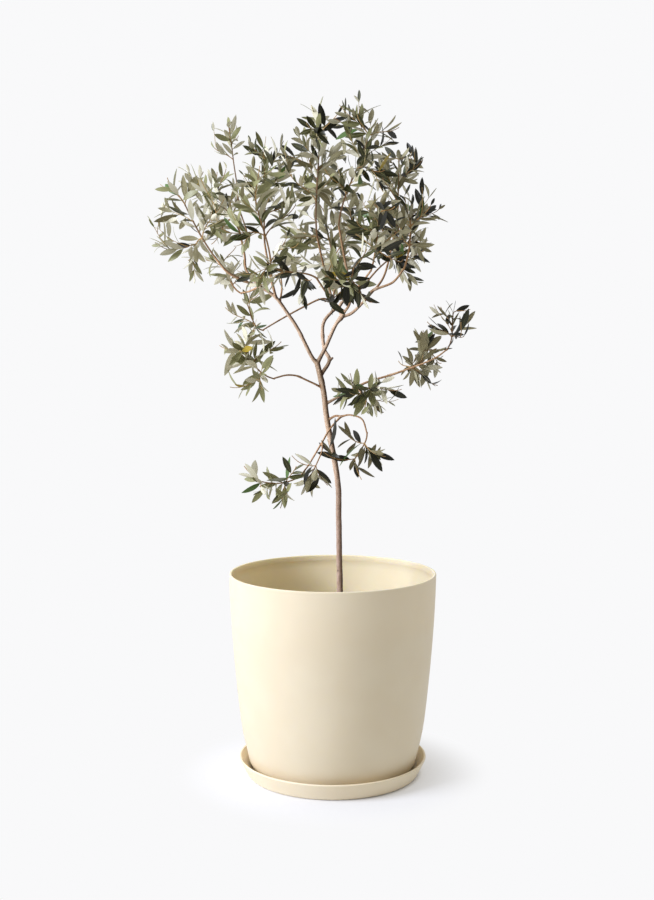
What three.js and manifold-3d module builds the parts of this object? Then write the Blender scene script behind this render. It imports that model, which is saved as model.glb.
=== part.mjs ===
// A potted olive tree: a round cream planter with its saucer and potting mix, a slim trunk that
// forks into boughs, and one mass of leafy twigs at the tip of every bough.
// Millimetres, +Z up. The origin is the centre of the saucer's flat underside.

import * as THREE from 'three';
import { mergeVertices } from 'three/addons/utils/BufferGeometryUtils.js';
import Module from 'manifold-3d';

const wasm = await Module();
wasm.setup();

// Planter
const rimRadius = 190;
const rimHeight = 374;
const potTaper = 32.7;
const taperPower = 1.58;
const heelHeight = 110;
const heelDepth = 13;
const potCorner = 30;
const potCornerSpan = [-90, -16];
const potWall = 4;
const rimBandHeight = 11;
const rimBandStep = 1.6;
const lipRound = 1.4;
const facets = 26;

// Saucer
const saucerHeight = 32.5;
const saucerRimRadius = 173;
const saucerFootRadius = 157;
const saucerWall = 4.2;
const saucerFloor = 5;
const saucerEdge = 7;
const saucerEdgeSpan = [-90, -20];
const saucerEdgeSteps = 2;

// Potting mix
const soilLevel = 290;
const soilGap = 1.8;

// Limbs: the gap where one meets another, and the sides of their flat-sided tubes
const seatGap = 0.3;
const trunkSides = 9;
const limbSides = 6;
const thinLimbSides = 5;
const thinLimbGirth = 2.3;
const forkDepth = 0.8;
const finePerReach = 6;

// The flare of the trunk's foot, and the shares of the trunk where it gets rings of its own
const barkFlare = 3.4;
const flareLength = 26;
const flareShares = [0.012, 0.035, 0.09];

// The stem of a mass of foliage. Shares are of a twig's own length, from its root.
const stemSides = 4;
const stemRadius = [1.9, 1.6];
const stemShares = [0, 0.35, 0.65, 1];
const stemReach = 0.35;
const stemSeat = 2;
const stemPull = 1.6;
const stemLift = 0.3;
const stemLeafyFrom = 0.45;

// Shoots: how they bend, how their tips are spread over the mass, and how far they keep off
const twigSides = 3;
const shootShares = [0, 1 / 3, 2 / 3, 1];
const shootTipRadius = 0.95;
const shootTaper = 0.7;
const shortestShoot = 25;
const shootLift = [0.25, 0.85];
const curveHandle = 0.35;
const parentPull = 0.5;
const tipPull = 0.8;
const turnCost = 0.9;
const tipSpread = 1.45;
const tipStray = 0.2;
const tipTurn = 0.7;
const tipDepth = [0.78, 0.96];
const twigInset = 0.97;
const twigMargin = 0.05;
const twigClearance = 3.8;
const twigTestStep = 3;
const twigTestFrom = 6;

// Leaves, larger than life because there are fewer than on the tree
const leafLength = 50;
const leafGrowth = 1.5;
const leafHalfWidth = 0.15;
const leafThickness = 0.022;
const leafMiddle = 0.48;
const leafPitch = 30;
const pitchStray = 0.2;
const lastPitch = 0.6;
const leafyStretch = 110;
const leastLeafyFrom = 0.12;
const lastPairAt = 0.97;
const pairStray = 0.5;
const leafOpening = 46;
const lastOpening = 26;
const openingStray = 30;
const leafSizes = [0.72, 1.22];
const lastLeafSize = 0.72;
const leafDwindle = 0.12;
const leafTwist = 1.4;
const leafDroop = [-0.1225, 0.2275];
const leafMissing = 0.05;
const leafShrinks = [1, 0.8, 0.64];
const leafMargin = 0.016;
const leafClearance = 1.2;
const leafOffTwig = 3.2;
const leafOffLeaf = 4.5;
const leafFreeShares = [0.3, 0.5, 0.7, 0.85, 1];
const leafOutline = [[0.2, 0.62], [0.35, 0.9], [0.5, 1], [0.65, 0.9], [0.8, 0.62], [1, 0]];

const up = new THREE.Vector3(0, 0, 1);
const upright = 1e-4;
const goldenAngle = Math.PI * (3 - Math.sqrt(5));
const radians = THREE.MathUtils.degToRad;

const cream = { color: 0xeee0c2, roughness: 0.5, metalness: 0 };
const earth = { color: 0x4a3a2b, roughness: 1, metalness: 0 };
const bark = { color: 0x9c8672, roughness: 0.9, metalness: 0 };
const foliage = { color: 0x7c8468, roughness: 0.6, metalness: 0 };

// Each limb starts on another one, a share of the way along it, and goes on in reaches.
// A reach is its length, its compass bearing from +X and its climb, in mm and degrees.
const limbs = {
  trunk: {
    start: [14, 0, soilLevel], girth: [5.3, 5.0],
    reaches: [[180, 158, 89], [75, 223, 87.6], [112, 189, 80], [51, 171, 83], [53, 170, 77]],
  },
  left_bough: {
    on: 'trunk', at: 1, girth: [3.5, 2.7],
    reaches: [[18, 200, 50], [55, 201, 62], [37, 199, 55], [33, 203, 51], [34, 192, 34]],
  },
  left_wing_bough: {
    on: 'left_bough', at: 1, girth: [2.5, 1.9], reaches: [[32, 195, 18], [33, 196, 28], [35, 190, 50]],
  },
  left_upper_bough: {
    on: 'left_bough', at: 1, girth: [2.4, 1.8], reaches: [[36, 166, 48], [32, 119, 73], [40, 155, 77]],
  },
  left_tip_bough: {
    on: 'left_upper_bough', at: 0.72, girth: [1.6, 1.2],
    reaches: [[38, 78, 52], [48, 158, 72], [52, 176, 84]],
  },
  left_lower_bough: {
    on: 'left_bough', at: 1, girth: [2.0, 1.5], reaches: [[24, 145, -20], [21, 145, -8]],
  },
  left_back_bough: {
    on: 'left_bough', at: 0.8, girth: [2.3, 1.8], reaches: [[61, 103, 36], [60, 103, 47], [31, 103, 49]],
  },
  left_front_bough: {
    on: 'left_bough', at: 0.8, girth: [2.2, 1.7], reaches: [[44, 259, 46], [45, 265, 58]],
  },
  left_inner_bough: {
    on: 'left_bough', at: 0.74, girth: [1.8, 1.5], reaches: [[26, 75, 62], [26, 100, 64]],
  },
  right_bough: {
    on: 'trunk', at: 1, girth: [3.5, 3.3], reaches: [[33, 25, 60], [43, 16, 65], [21, 9, 53]],
  },
  right_outer_bough: {
    on: 'right_bough', at: 1, girth: [2.8, 1.9],
    reaches: [[21, 348, 21], [37, 347, 44], [18, 349, 52], [38, 350, 21], [32, 349, 50]],
  },
  right_upper_bough: {
    on: 'right_outer_bough', at: 0.4, girth: [2.1, 1.7],
    reaches: [[52, 36, 45], [56, 46, 67], [41, 24, 76]],
  },
  centre_bough: {
    on: 'right_bough', at: 1, girth: [2.8, 1.8],
    reaches: [[22, 121, 72], [32, 11, 47], [26, 161, 77], [42, 206, 77], [55, 213, 78]],
  },
  right_front_bough: {
    on: 'centre_bough', at: 0.29, girth: [2.1, 1.7], reaches: [[53, 293, 21], [47, 290, 24]],
  },
  front_bough: {
    on: 'right_bough', at: 1, girth: [2.7, 1.9], reaches: [[35, 277, 13], [43, 282, 18], [38, 269, 32]],
  },
  front_left_bough: {
    on: 'front_bough', at: 0.3, girth: [2.0, 1.7], reaches: [[51, 236, 27], [52, 233, 40]],
  },
  rear_bough: {
    on: 'trunk', at: 0.95, girth: [3.5, 3.0],
    reaches: [[36, 44, 50], [28, 116, 44], [33, 105, 64], [25, 68, 70], [29, 24, 47]],
  },
  upright_bough: {
    on: 'rear_bough', at: 1, girth: [2.4, 1.8], reaches: [[35, 208, 76], [50, 225, 70], [57, 243, 63]],
  },
  back_bough: {
    on: 'rear_bough', at: 1, girth: [2.4, 1.8], reaches: [[34, 95, 26], [49, 80, 43]],
  },
  back_right_bough: {
    on: 'back_bough', at: 0.44, girth: [2.0, 1.7], reaches: [[52, 28, 18], [62, 30, 43]],
  },
  crossing_branch: {
    on: 'back_bough', at: 0.44, girth: [1.9, 1.4],
    reaches: [[24, 205, 10], [37, 194, -24], [48, 196, -28], [42, 196, -30]],
  },
  left_side_branch: {
    on: 'trunk', at: 0.9, girth: [1.9, 1.5],
    reaches: [[15, 198, 29], [22, 192, 25], [18, 193, 23], [19.5, 192, 3], [23.5, 196, -14]],
  },
  right_side_branch: {
    on: 'trunk', at: 0.84, girth: [2.6, 1.8],
    reaches: [[36.5, 2, 28], [29, 4, 28], [25, 10, 24], [50, 7, 16]],
  },
  right_wing_branch: {
    on: 'right_side_branch', at: 0.93, girth: [1.8, 1.4],
    reaches: [[54, 345, 19.5], [34, 350, 23], [27, 356, 36]],
  },
  right_inner_branch: {
    on: 'right_side_branch', at: 0.45, girth: [1.6, 1.3], reaches: [[19, 303, -26], [10, 303, -19]],
  },
  low_branch: {
    on: 'trunk', at: 0.775, girth: [2.2, 1.9], reaches: [[18, 338, 30], [12, 330, -3]],
  },
  low_left_branch: {
    on: 'low_branch', at: 1, girth: [1.8, 1.4],
    reaches: [[20, 212, -41], [18, 210, -48], [21, 211, -56], [28, 203, -57], [24, 198, -57], [23, 196, -51]],
  },
  low_front_branch: {
    on: 'low_left_branch', at: 0.44, girth: [1.4, 1.2], reaches: [[19, 266, -50], [14, 251, -43]],
  },
  low_right_branch: {
    on: 'low_branch', at: 1, girth: [1.7, 1.4], reaches: [[18, 340, 10], [24, 339, -18], [27, 335, -69]],
  },
};

// Each mass of foliage fills an ellipsoid: its centre and its three half sizes, in mm.
const masses = {
  left_wing: {
    bough: 'left_wing_bough', centre: [-245, -54, 1004], half: [81, 63, 110],
    shoots: 8, leaf: 1, seed: 28,
  },
  left_upper: {
    bough: 'left_upper_bough', centre: [-199, -3, 1037], half: [43, 75, 89],
    shoots: 8, leaf: 1, seed: 170,
  },
  left_tip: {
    bough: 'left_tip_bough', centre: [-184, 12, 1160], half: [40, 36, 58],
    shoots: 3, leaf: 1, seed: 50,
  },
  left_lower: {
    bough: 'left_lower_bough', centre: [-190, 15, 927], half: [60, 74, 53],
    shoots: 5, leaf: 1, seed: 293,
  },
  left_front: {
    bough: 'left_front_bough', centre: [-126, -98, 1005], half: [78, 72, 106],
    shoots: 5, leaf: 1, seed: 10,
  },
  left_back: {
    bough: 'left_back_bough', centre: [-124, 114, 1100], half: [73, 69, 96],
    shoots: 6, leaf: 1, seed: 222,
  },
  left_inner: {
    bough: 'left_inner_bough', centre: [-95, 20, 933], half: [52, 62, 51],
    shoots: 5, leaf: 0.95, seed: 132,
  },
  centre_top: {
    bough: 'upright_bough', centre: [-25, 18, 1126], half: [78, 85, 118],
    shoots: 8, leaf: 1, seed: 169,
  },
  right_top: {
    bough: 'centre_bough', centre: [52, -40, 1119], half: [86, 61, 116],
    shoots: 7, leaf: 1, seed: 90,
  },
  centre_front: {
    bough: 'front_left_bough', centre: [-81, -134, 918], half: [93, 91, 79],
    shoots: 5, leaf: 1, seed: 214,
  },
  right_outer: {
    bough: 'right_outer_bough', centre: [139, 13, 1011], half: [72, 57, 98],
    shoots: 7, leaf: 1, seed: 361,
  },
  right_upper: {
    bough: 'right_upper_bough', centre: [122, 71, 1109], half: [51, 76, 69],
    shoots: 5, leaf: 1, seed: 51,
  },
  front_low: {
    bough: 'front_bough', centre: [31, -175, 905], half: [67, 70, 82],
    shoots: 5, leaf: 1.05, seed: 188,
  },
  right_front: {
    bough: 'right_front_bough', centre: [76, -103, 992], half: [67, 87, 71],
    shoots: 6, leaf: 1, seed: 387,
  },
  back: {
    bough: 'back_bough', centre: [-11, 215, 1014], half: [97, 93, 135],
    shoots: 8, leaf: 1, seed: 306,
  },
  back_right: {
    bough: 'back_right_bough', centre: [134, 148, 973], half: [58, 66, 92],
    shoots: 8, leaf: 1, seed: 169,
  },
  left_cross: {
    bough: 'crossing_branch', centre: [-148, 25, 850], half: [54, 43, 57],
    shoots: 3, leaf: 1, seed: 335,
  },
  left_middle: {
    bough: 'left_side_branch', centre: [-140, -45, 762], half: [74, 62, 80],
    shoots: 7, leaf: 1.05, seed: 397,
  },
  right_middle: {
    bough: 'right_side_branch', centre: [169, 59, 767], half: [57, 65, 63],
    shoots: 7, leaf: 1.1, seed: 197,
  },
  right_wing: {
    bough: 'right_wing_branch', centre: [213, -24, 832], half: [50, 43, 48],
    shoots: 7, leaf: 1, seed: 289,
  },
  right_inner: {
    bough: 'right_inner_branch', centre: [62, -47, 709], half: [74, 67, 50],
    shoots: 7, leaf: 1.15, seed: 153,
  },
  low_left: {
    bough: 'low_left_branch', centre: [-105, -84, 553], half: [70, 60, 53],
    shoots: 4, leaf: 1.1, seed: 360,
  },
  low_front: {
    bough: 'low_front_branch', centre: [-39, -58, 563], half: [53, 46, 54],
    shoots: 4, leaf: 1.2, seed: 259,
  },
  low_right: {
    bough: 'low_right_branch', centre: [51, -33, 606], half: [84, 60, 60],
    shoots: 5, leaf: 1.2, seed: 215,
  },
};

// A seeded dice, the same on every run
function dice(seed) {
  let state = seed >>> 0;
  return () => {
    state = (state + 0x6d2b79f5) >>> 0;
    let t = state;
    t = Math.imul(t ^ (t >>> 15), t | 1);
    t ^= t + Math.imul(t ^ (t >>> 7), t | 61);
    return ((t ^ (t >>> 14)) >>> 0) / 4294967296;
  };
}

function heading(bearing, climb) {
  const flat = Math.cos(radians(climb));
  return new THREE.Vector3(
    Math.cos(radians(bearing)) * flat, Math.sin(radians(bearing)) * flat, Math.sin(radians(climb)),
  );
}

function mixed(a, b, share) {
  return a + (b - a) * share;
}

// A level vector square to a direction, for the frame that twigs and leaves turn in
function square(direction) {
  const side = new THREE.Vector3().crossVectors(direction, up);
  return side.lengthSq() < upright ? new THREE.Vector3(1, 0, 0) : side.normalize();
}

// Solids for joining and cutting, with corners nearer than this made one

const sameCorner = 1e-5;

function toSolid(geometry) {
  const bare = geometry.clone();
  bare.deleteAttribute('normal');
  bare.deleteAttribute('uv');
  const merged = mergeVertices(bare, sameCorner);
  return new wasm.Manifold(new wasm.Mesh({
    numProp: 3,
    vertProperties: new Float32Array(merged.attributes.position.array),
    triVerts: new Uint32Array(merged.index.array),
  }));
}

// The largest outer shell of a solid: loose scraps and sealed hollows are left behind
function largestShell(solid) {
  const { vertProperties, triVerts } = solid.getMesh();
  const parent = Array.from({ length: vertProperties.length / 3 }, (_, i) => i);
  const root = (i) => {
    while (parent[i] !== i) {
      parent[i] = parent[parent[i]];
      i = parent[i];
    }
    return i;
  };
  for (let t = 0; t < triVerts.length; t += 3) {
    parent[root(triVerts[t + 1])] = root(triVerts[t]);
    parent[root(triVerts[t + 2])] = root(triVerts[t]);
  }
  const corner = (i) => new THREE.Vector3().fromArray(vertProperties, i * 3);
  const shells = new Map();
  for (let t = 0; t < triVerts.length; t += 3) {
    const [a, b, c] = [triVerts[t], triVerts[t + 1], triVerts[t + 2]];
    const shell = shells.get(root(a)) ?? { volume: 0, faces: [] };
    shell.volume += corner(a).dot(corner(b).cross(corner(c))) / 6;
    shell.faces.push(a, b, c);
    shells.set(root(a), shell);
  }
  const largest = [...shells.values()].sort((a, b) => b.volume - a.volume)[0];
  const geometry = new THREE.BufferGeometry();
  geometry.setAttribute('position', new THREE.BufferAttribute(new Float32Array(vertProperties), 3));
  geometry.setIndex(largest.faces);
  return geometry.toNonIndexed();
}

const group = new THREE.Group();

function addNode(name, geometry, finish) {
  geometry.computeVertexNormals();
  const mesh = new THREE.Mesh(geometry, new THREE.MeshStandardMaterial(finish));
  mesh.name = name;
  group.add(mesh);
}

// Planter, saucer and potting mix, each one outline turned round the Z axis

function turned(outline) {
  const points = outline.map(([radius, height]) => new THREE.Vector2(radius, height));
  return toGeometryUp(new THREE.LatheGeometry(points, facets));
}

// A lathe turns round Y, and the tree stands along Z
function toGeometryUp(geometry) {
  return geometry.rotateX(Math.PI / 2);
}

function arc(centre, radius, from, to, steps) {
  return Array.from({ length: steps + 1 }, (_, i) => {
    const angle = radians(mixed(from, to, i / steps));
    return [centre[0] + radius * Math.cos(angle), centre[1] + radius * Math.sin(angle)];
  });
}

// The planter's outer radius at a height: upright below the rim, drawn in towards the foot, and
// drawn in more at its heel
function potRadius(height) {
  const heel = Math.max(0, 1 - height / heelHeight) ** 2;
  return rimRadius - potTaper * ((rimHeight - height) / rimHeight) ** taperPower - heelDepth * heel;
}

// The planter's wall and its round bottom corner, moved in by an inset
function potSkin(inset, top, wallSteps, cornerSteps) {
  const foot = saucerFloor + potCorner;
  const centre = [potRadius(foot) - potCorner, foot];
  const corner = arc(centre, potCorner - inset, ...potCornerSpan, cornerSteps);
  const wall = Array.from({ length: wallSteps }, (_, i) => {
    const height = mixed(foot, top, (i + 1) / wallSteps);
    return [potRadius(height) - inset, height];
  });
  return [...corner, ...wall];
}

function potGeometry() {
  const outside = potSkin(0, rimHeight - lipRound, 6, 3);
  const inside = potSkin(potWall, rimHeight - rimBandHeight, 5, 2).reverse();
  const bandRadius = potRadius(rimHeight) - potWall - rimBandStep;
  return turned([
    [0, saucerFloor],
    ...outside,
    [rimRadius - lipRound, rimHeight],
    [bandRadius, rimHeight],
    [bandRadius, rimHeight - rimBandHeight + rimBandStep],
    ...inside,
    [0, saucerFloor + potWall],
  ]);
}

function saucerGeometry() {
  const slope = (saucerRimRadius - saucerFootRadius - saucerEdge / 2) / (saucerHeight - saucerEdge);
  const edgeCentre = [saucerFootRadius - saucerEdge / 2, saucerEdge];
  const outerEdge = arc(edgeCentre, saucerEdge, ...saucerEdgeSpan, saucerEdgeSteps);
  const innerFloor = saucerFootRadius - saucerEdge;
  return turned([
    [0, 0],
    ...outerEdge,
    [saucerRimRadius, saucerHeight - lipRound],
    [saucerRimRadius - lipRound, saucerHeight],
    [saucerRimRadius - saucerWall, saucerHeight],
    [innerFloor + saucerEdge * slope, saucerFloor + saucerEdge],
    [innerFloor - saucerEdge / 2, saucerFloor],
    [0, saucerFloor],
  ]);
}

function soilGeometry() {
  return turned([
    [0, saucerFloor + potWall],
    ...potSkin(potWall + soilGap, soilLevel, 2, 2).map(
      ([radius, height], i) => [radius, i === 0 ? saucerFloor + potWall : height],
    ),
    [0, soilLevel],
  ]);
}

addNode('saucer', saucerGeometry(), cream);
addNode('pot', potGeometry(), cream);
addNode('soil', soilGeometry(), earth);

// Limbs

// A smooth line through points, at a share of the way from the first to the last
function smoothPoint(points, share) {
  const last = points.length - 1;
  const i = Math.min(Math.floor(share * last), last - 1);
  const f = share * last - i;
  const [b, c] = [points[i], points[i + 1]];
  const a = i > 0 ? points[i - 1] : b.clone().multiplyScalar(2).sub(c);
  const d = i + 2 <= last ? points[i + 2] : c.clone().multiplyScalar(2).sub(b);
  const along = (p, q, r, s) => 0.5 * (
    2 * q + (r - p) * f + (2 * p - 5 * q + 4 * r - s) * f * f + (3 * q - p - 3 * r + s) * f ** 3
  );
  return new THREE.Vector3(
    along(a.x, b.x, c.x, d.x), along(a.y, b.y, c.y, d.y), along(a.z, b.z, c.z, d.z),
  );
}

function pointAlong(path, share) {
  const steps = path.slice(1).map((point, i) => point.distanceTo(path[i]));
  let left = share * steps.reduce((sum, step) => sum + step, 0);
  for (const [i, step] of steps.entries()) {
    if (left <= step || i === steps.length - 1) return path[i].clone().lerp(path[i + 1], left / step);
    left -= step;
  }
  return path.at(-1).clone();
}

function growLimbs() {
  for (const limb of Object.values(limbs)) {
    const start = limb.on ? pointAlong(limbs[limb.on].path, limb.at) : new THREE.Vector3(...limb.start);
    limb.bends = [start];
    for (const [length, bearing, climb] of limb.reaches) {
      limb.bends.push(limb.bends.at(-1).clone().addScaledVector(heading(bearing, climb), length));
    }
    const steps = finePerReach * limb.reaches.length;
    limb.path = Array.from({ length: steps + 1 }, (_, i) => smoothPoint(limb.bends, i / steps));
  }
}

// A closed tube of flat-sided rings along a line, with a radius for every ring
function tube(path, radii, sides) {
  const corners = [];
  const faces = [];
  let side = square(path[1].clone().sub(path[0]).normalize());
  path.forEach((point, i) => {
    const back = path[Math.max(i - 1, 0)];
    const ahead = path[Math.min(i + 1, path.length - 1)];
    const along = ahead.clone().sub(back).normalize();
    side = side.clone().addScaledVector(along, -side.dot(along)).normalize();
    const across = new THREE.Vector3().crossVectors(along, side);
    for (let k = 0; k < sides; k++) {
      const angle = (2 * Math.PI * k) / sides;
      corners.push(...point.clone()
        .addScaledVector(side, radii[i] * Math.cos(angle))
        .addScaledVector(across, radii[i] * Math.sin(angle)).toArray());
    }
  });
  for (let i = 0; i + 1 < path.length; i++) {
    for (let k = 0; k < sides; k++) {
      const [a, b] = [i * sides + k, i * sides + (k + 1) % sides];
      faces.push(a, b, b + sides, a, b + sides, a + sides);
    }
  }
  const top = (path.length - 1) * sides;
  for (let k = 1; k + 1 < sides; k++) {
    faces.push(0, k + 1, k, top, top + k, top + k + 1);
  }
  const geometry = new THREE.BufferGeometry();
  geometry.setAttribute('position', new THREE.BufferAttribute(new Float32Array(corners), 3));
  geometry.setIndex(faces);
  return geometry;
}

// A limb's tube, fatter by a gap all round where it cuts the limbs that grow from it.
// The trunk's foot is cut level with the potting mix.
function limbTube(limb, gap) {
  const shares = limb.bends.map((_, i) => i / limb.reaches.length);
  if (!limb.on) shares.splice(1, 0, ...flareShares);
  const path = shares.map((share) => smoothPoint(limb.bends, share));
  const radii = path.map((point, i) => {
    const flare = limb.on ? 0 : barkFlare * Math.exp(-(point.z - soilLevel) / flareLength);
    return mixed(limb.girth[0], limb.girth[1], shares[i]) + flare + gap;
  });
  if (limb.at === 1) {
    const back = path[0].clone().sub(path[1]).normalize();
    path.unshift(path[0].clone().addScaledVector(back, limb.girth[0] * forkDepth));
    radii.unshift(radii[0]);
  }
  if (gap > 0) {
    const away = path.at(-1).clone().sub(path.at(-2)).normalize();
    path.push(path.at(-1).clone().addScaledVector(away, gap));
    radii.push(radii.at(-1));
  }
  if (limb.on) return toSolid(tube(path, radii, limb.girth[0] < thinLimbGirth ? thinLimbSides : limbSides));
  const trunk = tube(path, radii, trunkSides);
  for (let k = 0; k < trunkSides; k++) trunk.attributes.position.setZ(k, soilLevel);
  return toSolid(trunk);
}

function boxesMeet(a, b) {
  const [p, q] = [a.boundingBox(), b.boundingBox()];
  return [0, 1, 2].every((i) => p.min[i] < q.max[i] && q.min[i] < p.max[i]);
}

growLimbs();
const cutters = [];
for (const [name, limb] of Object.entries(limbs)) {
  let solid = limbTube(limb, 0);
  for (const cutter of cutters) {
    if (boxesMeet(solid, cutter)) solid = solid.subtract(cutter);
  }
  limb.cutter = limbTube(limb, seatGap);
  cutters.push(limb.cutter);
  addNode(name, largestShell(solid), bark);
}

// Twigs and leaves

function curvePoint([a, b, c, d], t) {
  const s = 1 - t;
  return a.clone().multiplyScalar(s ** 3)
    .addScaledVector(b, 3 * s * s * t)
    .addScaledVector(c, 3 * s * t * t)
    .addScaledVector(d, t ** 3);
}

function curveHeading([a, b, c, d], t) {
  const s = 1 - t;
  return b.clone().sub(a).multiplyScalar(s * s)
    .addScaledVector(c.clone().sub(b), 2 * s * t)
    .addScaledVector(d.clone().sub(c), t * t)
    .normalize();
}

// A twig leaves its parent along the parent's own direction and turns up towards its tip
function makeTwig(start, leaving, tip, lift, shares, radius, leafyFrom) {
  const way = tip.clone().sub(start);
  const length = way.length();
  way.normalize();
  const first = leaving.clone().multiplyScalar(parentPull).addScaledVector(way, tipPull).normalize();
  const last = way.clone().addScaledVector(up, lift).normalize();
  const curve = [
    start,
    start.clone().addScaledVector(first, length * curveHandle),
    tip.clone().addScaledVector(last, -length * curveHandle),
    tip,
  ];
  return { curve, length, shares, radius, leafyFrom };
}

function makeStem(mass) {
  const { path } = limbs[mass.bough];
  const leaving = path.at(-1).clone().sub(path.at(-2)).normalize();
  const start = path.at(-1).clone().addScaledVector(leaving, seatGap);
  const axis = mass.centre.clone().sub(start).normalize();
  const tip = axis.clone().multiply(mass.half).multiplyScalar(stemReach).add(mass.centre);
  const pull = leaving.clone().multiplyScalar(stemPull);
  const stem = makeTwig(start, pull, tip, stemLift, stemShares, stemRadius, stemLeafyFrom);
  stem.seat = start.clone().addScaledVector(leaving, -stemSeat);
  return stem;
}

// How far out of a mass's ellipsoid a point lies: 1 is on its skin
function outwardness(mass, point) {
  return point.clone().sub(mass.centre).divide(mass.half).length();
}

function inOwnSpace(mass, points, margin, inset) {
  return points.every((point) => {
    const own = outwardness(mass, point);
    if (own > inset) return false;
    return crown.every((other) => other === mass || own + margin <= outwardness(other, point));
  });
}

function clearOfLimbs(mass, points, clearances) {
  const nearest = new THREE.Vector3();
  return points.every((point, i) => barriers.every(({ line, radius, owner }) => {
    if (owner === mass) return true;
    line.closestPointToPoint(point, true, nearest);
    return nearest.distanceTo(point) - radius > clearances[i];
  }));
}

function twigFits(mass, twig) {
  const count = Math.max(4, Math.ceil(twig.length / twigTestStep));
  const points = [];
  for (let i = 1; i <= count; i++) {
    if ((i / count) * twig.length > twigTestFrom) points.push(curvePoint(twig.curve, i / count));
  }
  return inOwnSpace(mass, points, twigMargin, twigInset)
    && clearOfLimbs(mass, points, points.map(() => twigClearance));
}

// A leaf's tip, edges and faces stay in the mass's own space, and its whole length off the limbs
function leafFits(mass, leaf) {
  const { root, along, across, face, length } = leaf;
  const halfWidth = length * leafHalfWidth;
  const middle = root.clone().addScaledVector(along, length / 2);
  const edge = [
    root.clone().addScaledVector(along, length),
    middle.clone().addScaledVector(across, halfWidth),
    middle.clone().addScaledVector(across, -halfWidth),
    middle.clone().addScaledVector(face, length * leafThickness),
    middle.clone().addScaledVector(face, -length * leafThickness),
  ];
  const spine = leafOutline.map(([share]) => root.clone().addScaledVector(along, length * share));
  const clearances = leafOutline.map(([, width]) => width * halfWidth + leafClearance);
  return inOwnSpace(mass, edge, leafMargin, 1) && clearOfLimbs(mass, spine, clearances);
}

// A leaf stays off the twigs that don't bear it, and off the leaves that are there already
function standsFree(leaf, wood, leaves) {
  const nearest = new THREE.Vector3();
  const spine = leafFreeShares.map(
    (share) => leaf.root.clone().addScaledVector(leaf.along, leaf.length * share),
  );
  const near = (line, clearance) => spine.some(
    (point) => line.closestPointToPoint(point, true, nearest).distanceTo(point) < clearance,
  );
  return wood.every(({ line, owner }) => owner === leaf.twig || !near(line, leafOffTwig))
    && leaves.every((other) => other.root === leaf.root || !near(other.spine, leafOffLeaf));
}

// The places on a twig where others may branch off
function budsOf(twig, shares) {
  return shares.map((t) => ({
    point: curvePoint(twig.curve, t),
    leaving: curveHeading(twig.curve, t),
    radius: mixed(twig.radius[0], twig.radius[1], t),
  }));
}

// Shoots reach for points spread evenly over the front of the ellipsoid, nearest first
function growShoots(mass) {
  const roll = dice(mass.seed);
  const twigs = [mass.stem];
  const start = mass.stem.curve[0];
  const buds = budsOf(mass.stem, stemShares.slice(1));
  const axis = mass.centre.clone().sub(start).normalize();
  const side = square(axis);
  const across = new THREE.Vector3().crossVectors(axis, side);
  const spin = roll() * 2 * Math.PI;
  const tips = [];
  for (let k = 0; k < mass.shoots; k++) {
    const even = 1 - ((k + 0.5) / mass.shoots) * tipSpread;
    const ahead = THREE.MathUtils.clamp(even + (roll() - 0.5) * tipStray, -1, 1);
    const round = k * goldenAngle + spin + (roll() - 0.5) * tipTurn;
    const wide = Math.sqrt(1 - ahead * ahead);
    tips.push(axis.clone().multiplyScalar(ahead)
      .addScaledVector(side, Math.cos(round) * wide)
      .addScaledVector(across, Math.sin(round) * wide)
      .multiply(mass.half).multiplyScalar(mixed(...tipDepth, roll())).add(mass.centre));
  }
  tips.sort((a, b) => a.distanceTo(start) - b.distanceTo(start));
  for (const tip of tips) {
    const lift = mixed(...shootLift, roll());
    const cost = ({ point, leaving }) => {
      const way = tip.clone().sub(point);
      return way.length() + turnCost * (way.length() - leaving.dot(way));
    };
    const bud = buds.reduce((best, next) => (cost(next) < cost(best) ? next : best));
    const length = bud.point.distanceTo(tip);
    if (length < shortestShoot) continue;
    const leafyFrom = Math.max(leastLeafyFrom, 1 - leafyStretch / length);
    const radius = [Math.max(bud.radius * shootTaper, shootTipRadius), shootTipRadius];
    const twig = makeTwig(bud.point, bud.leaving, tip, lift, shootShares, radius, leafyFrom);
    if (!twigFits(mass, twig)) continue;
    twigs.push(twig);
    buds.push(...budsOf(twig, shootShares.slice(1, -1)));
  }
  return twigs;
}

// The twig's straight pieces between its shares, so that a leaf's root lies inside the wood
function woodPoint(twig, t) {
  const i = Math.max(1, twig.shares.findIndex((share) => share >= t));
  const [from, to] = [twig.shares[i - 1], twig.shares[i]];
  return curvePoint(twig.curve, from).lerp(curvePoint(twig.curve, to), (t - from) / (to - from));
}

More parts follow.
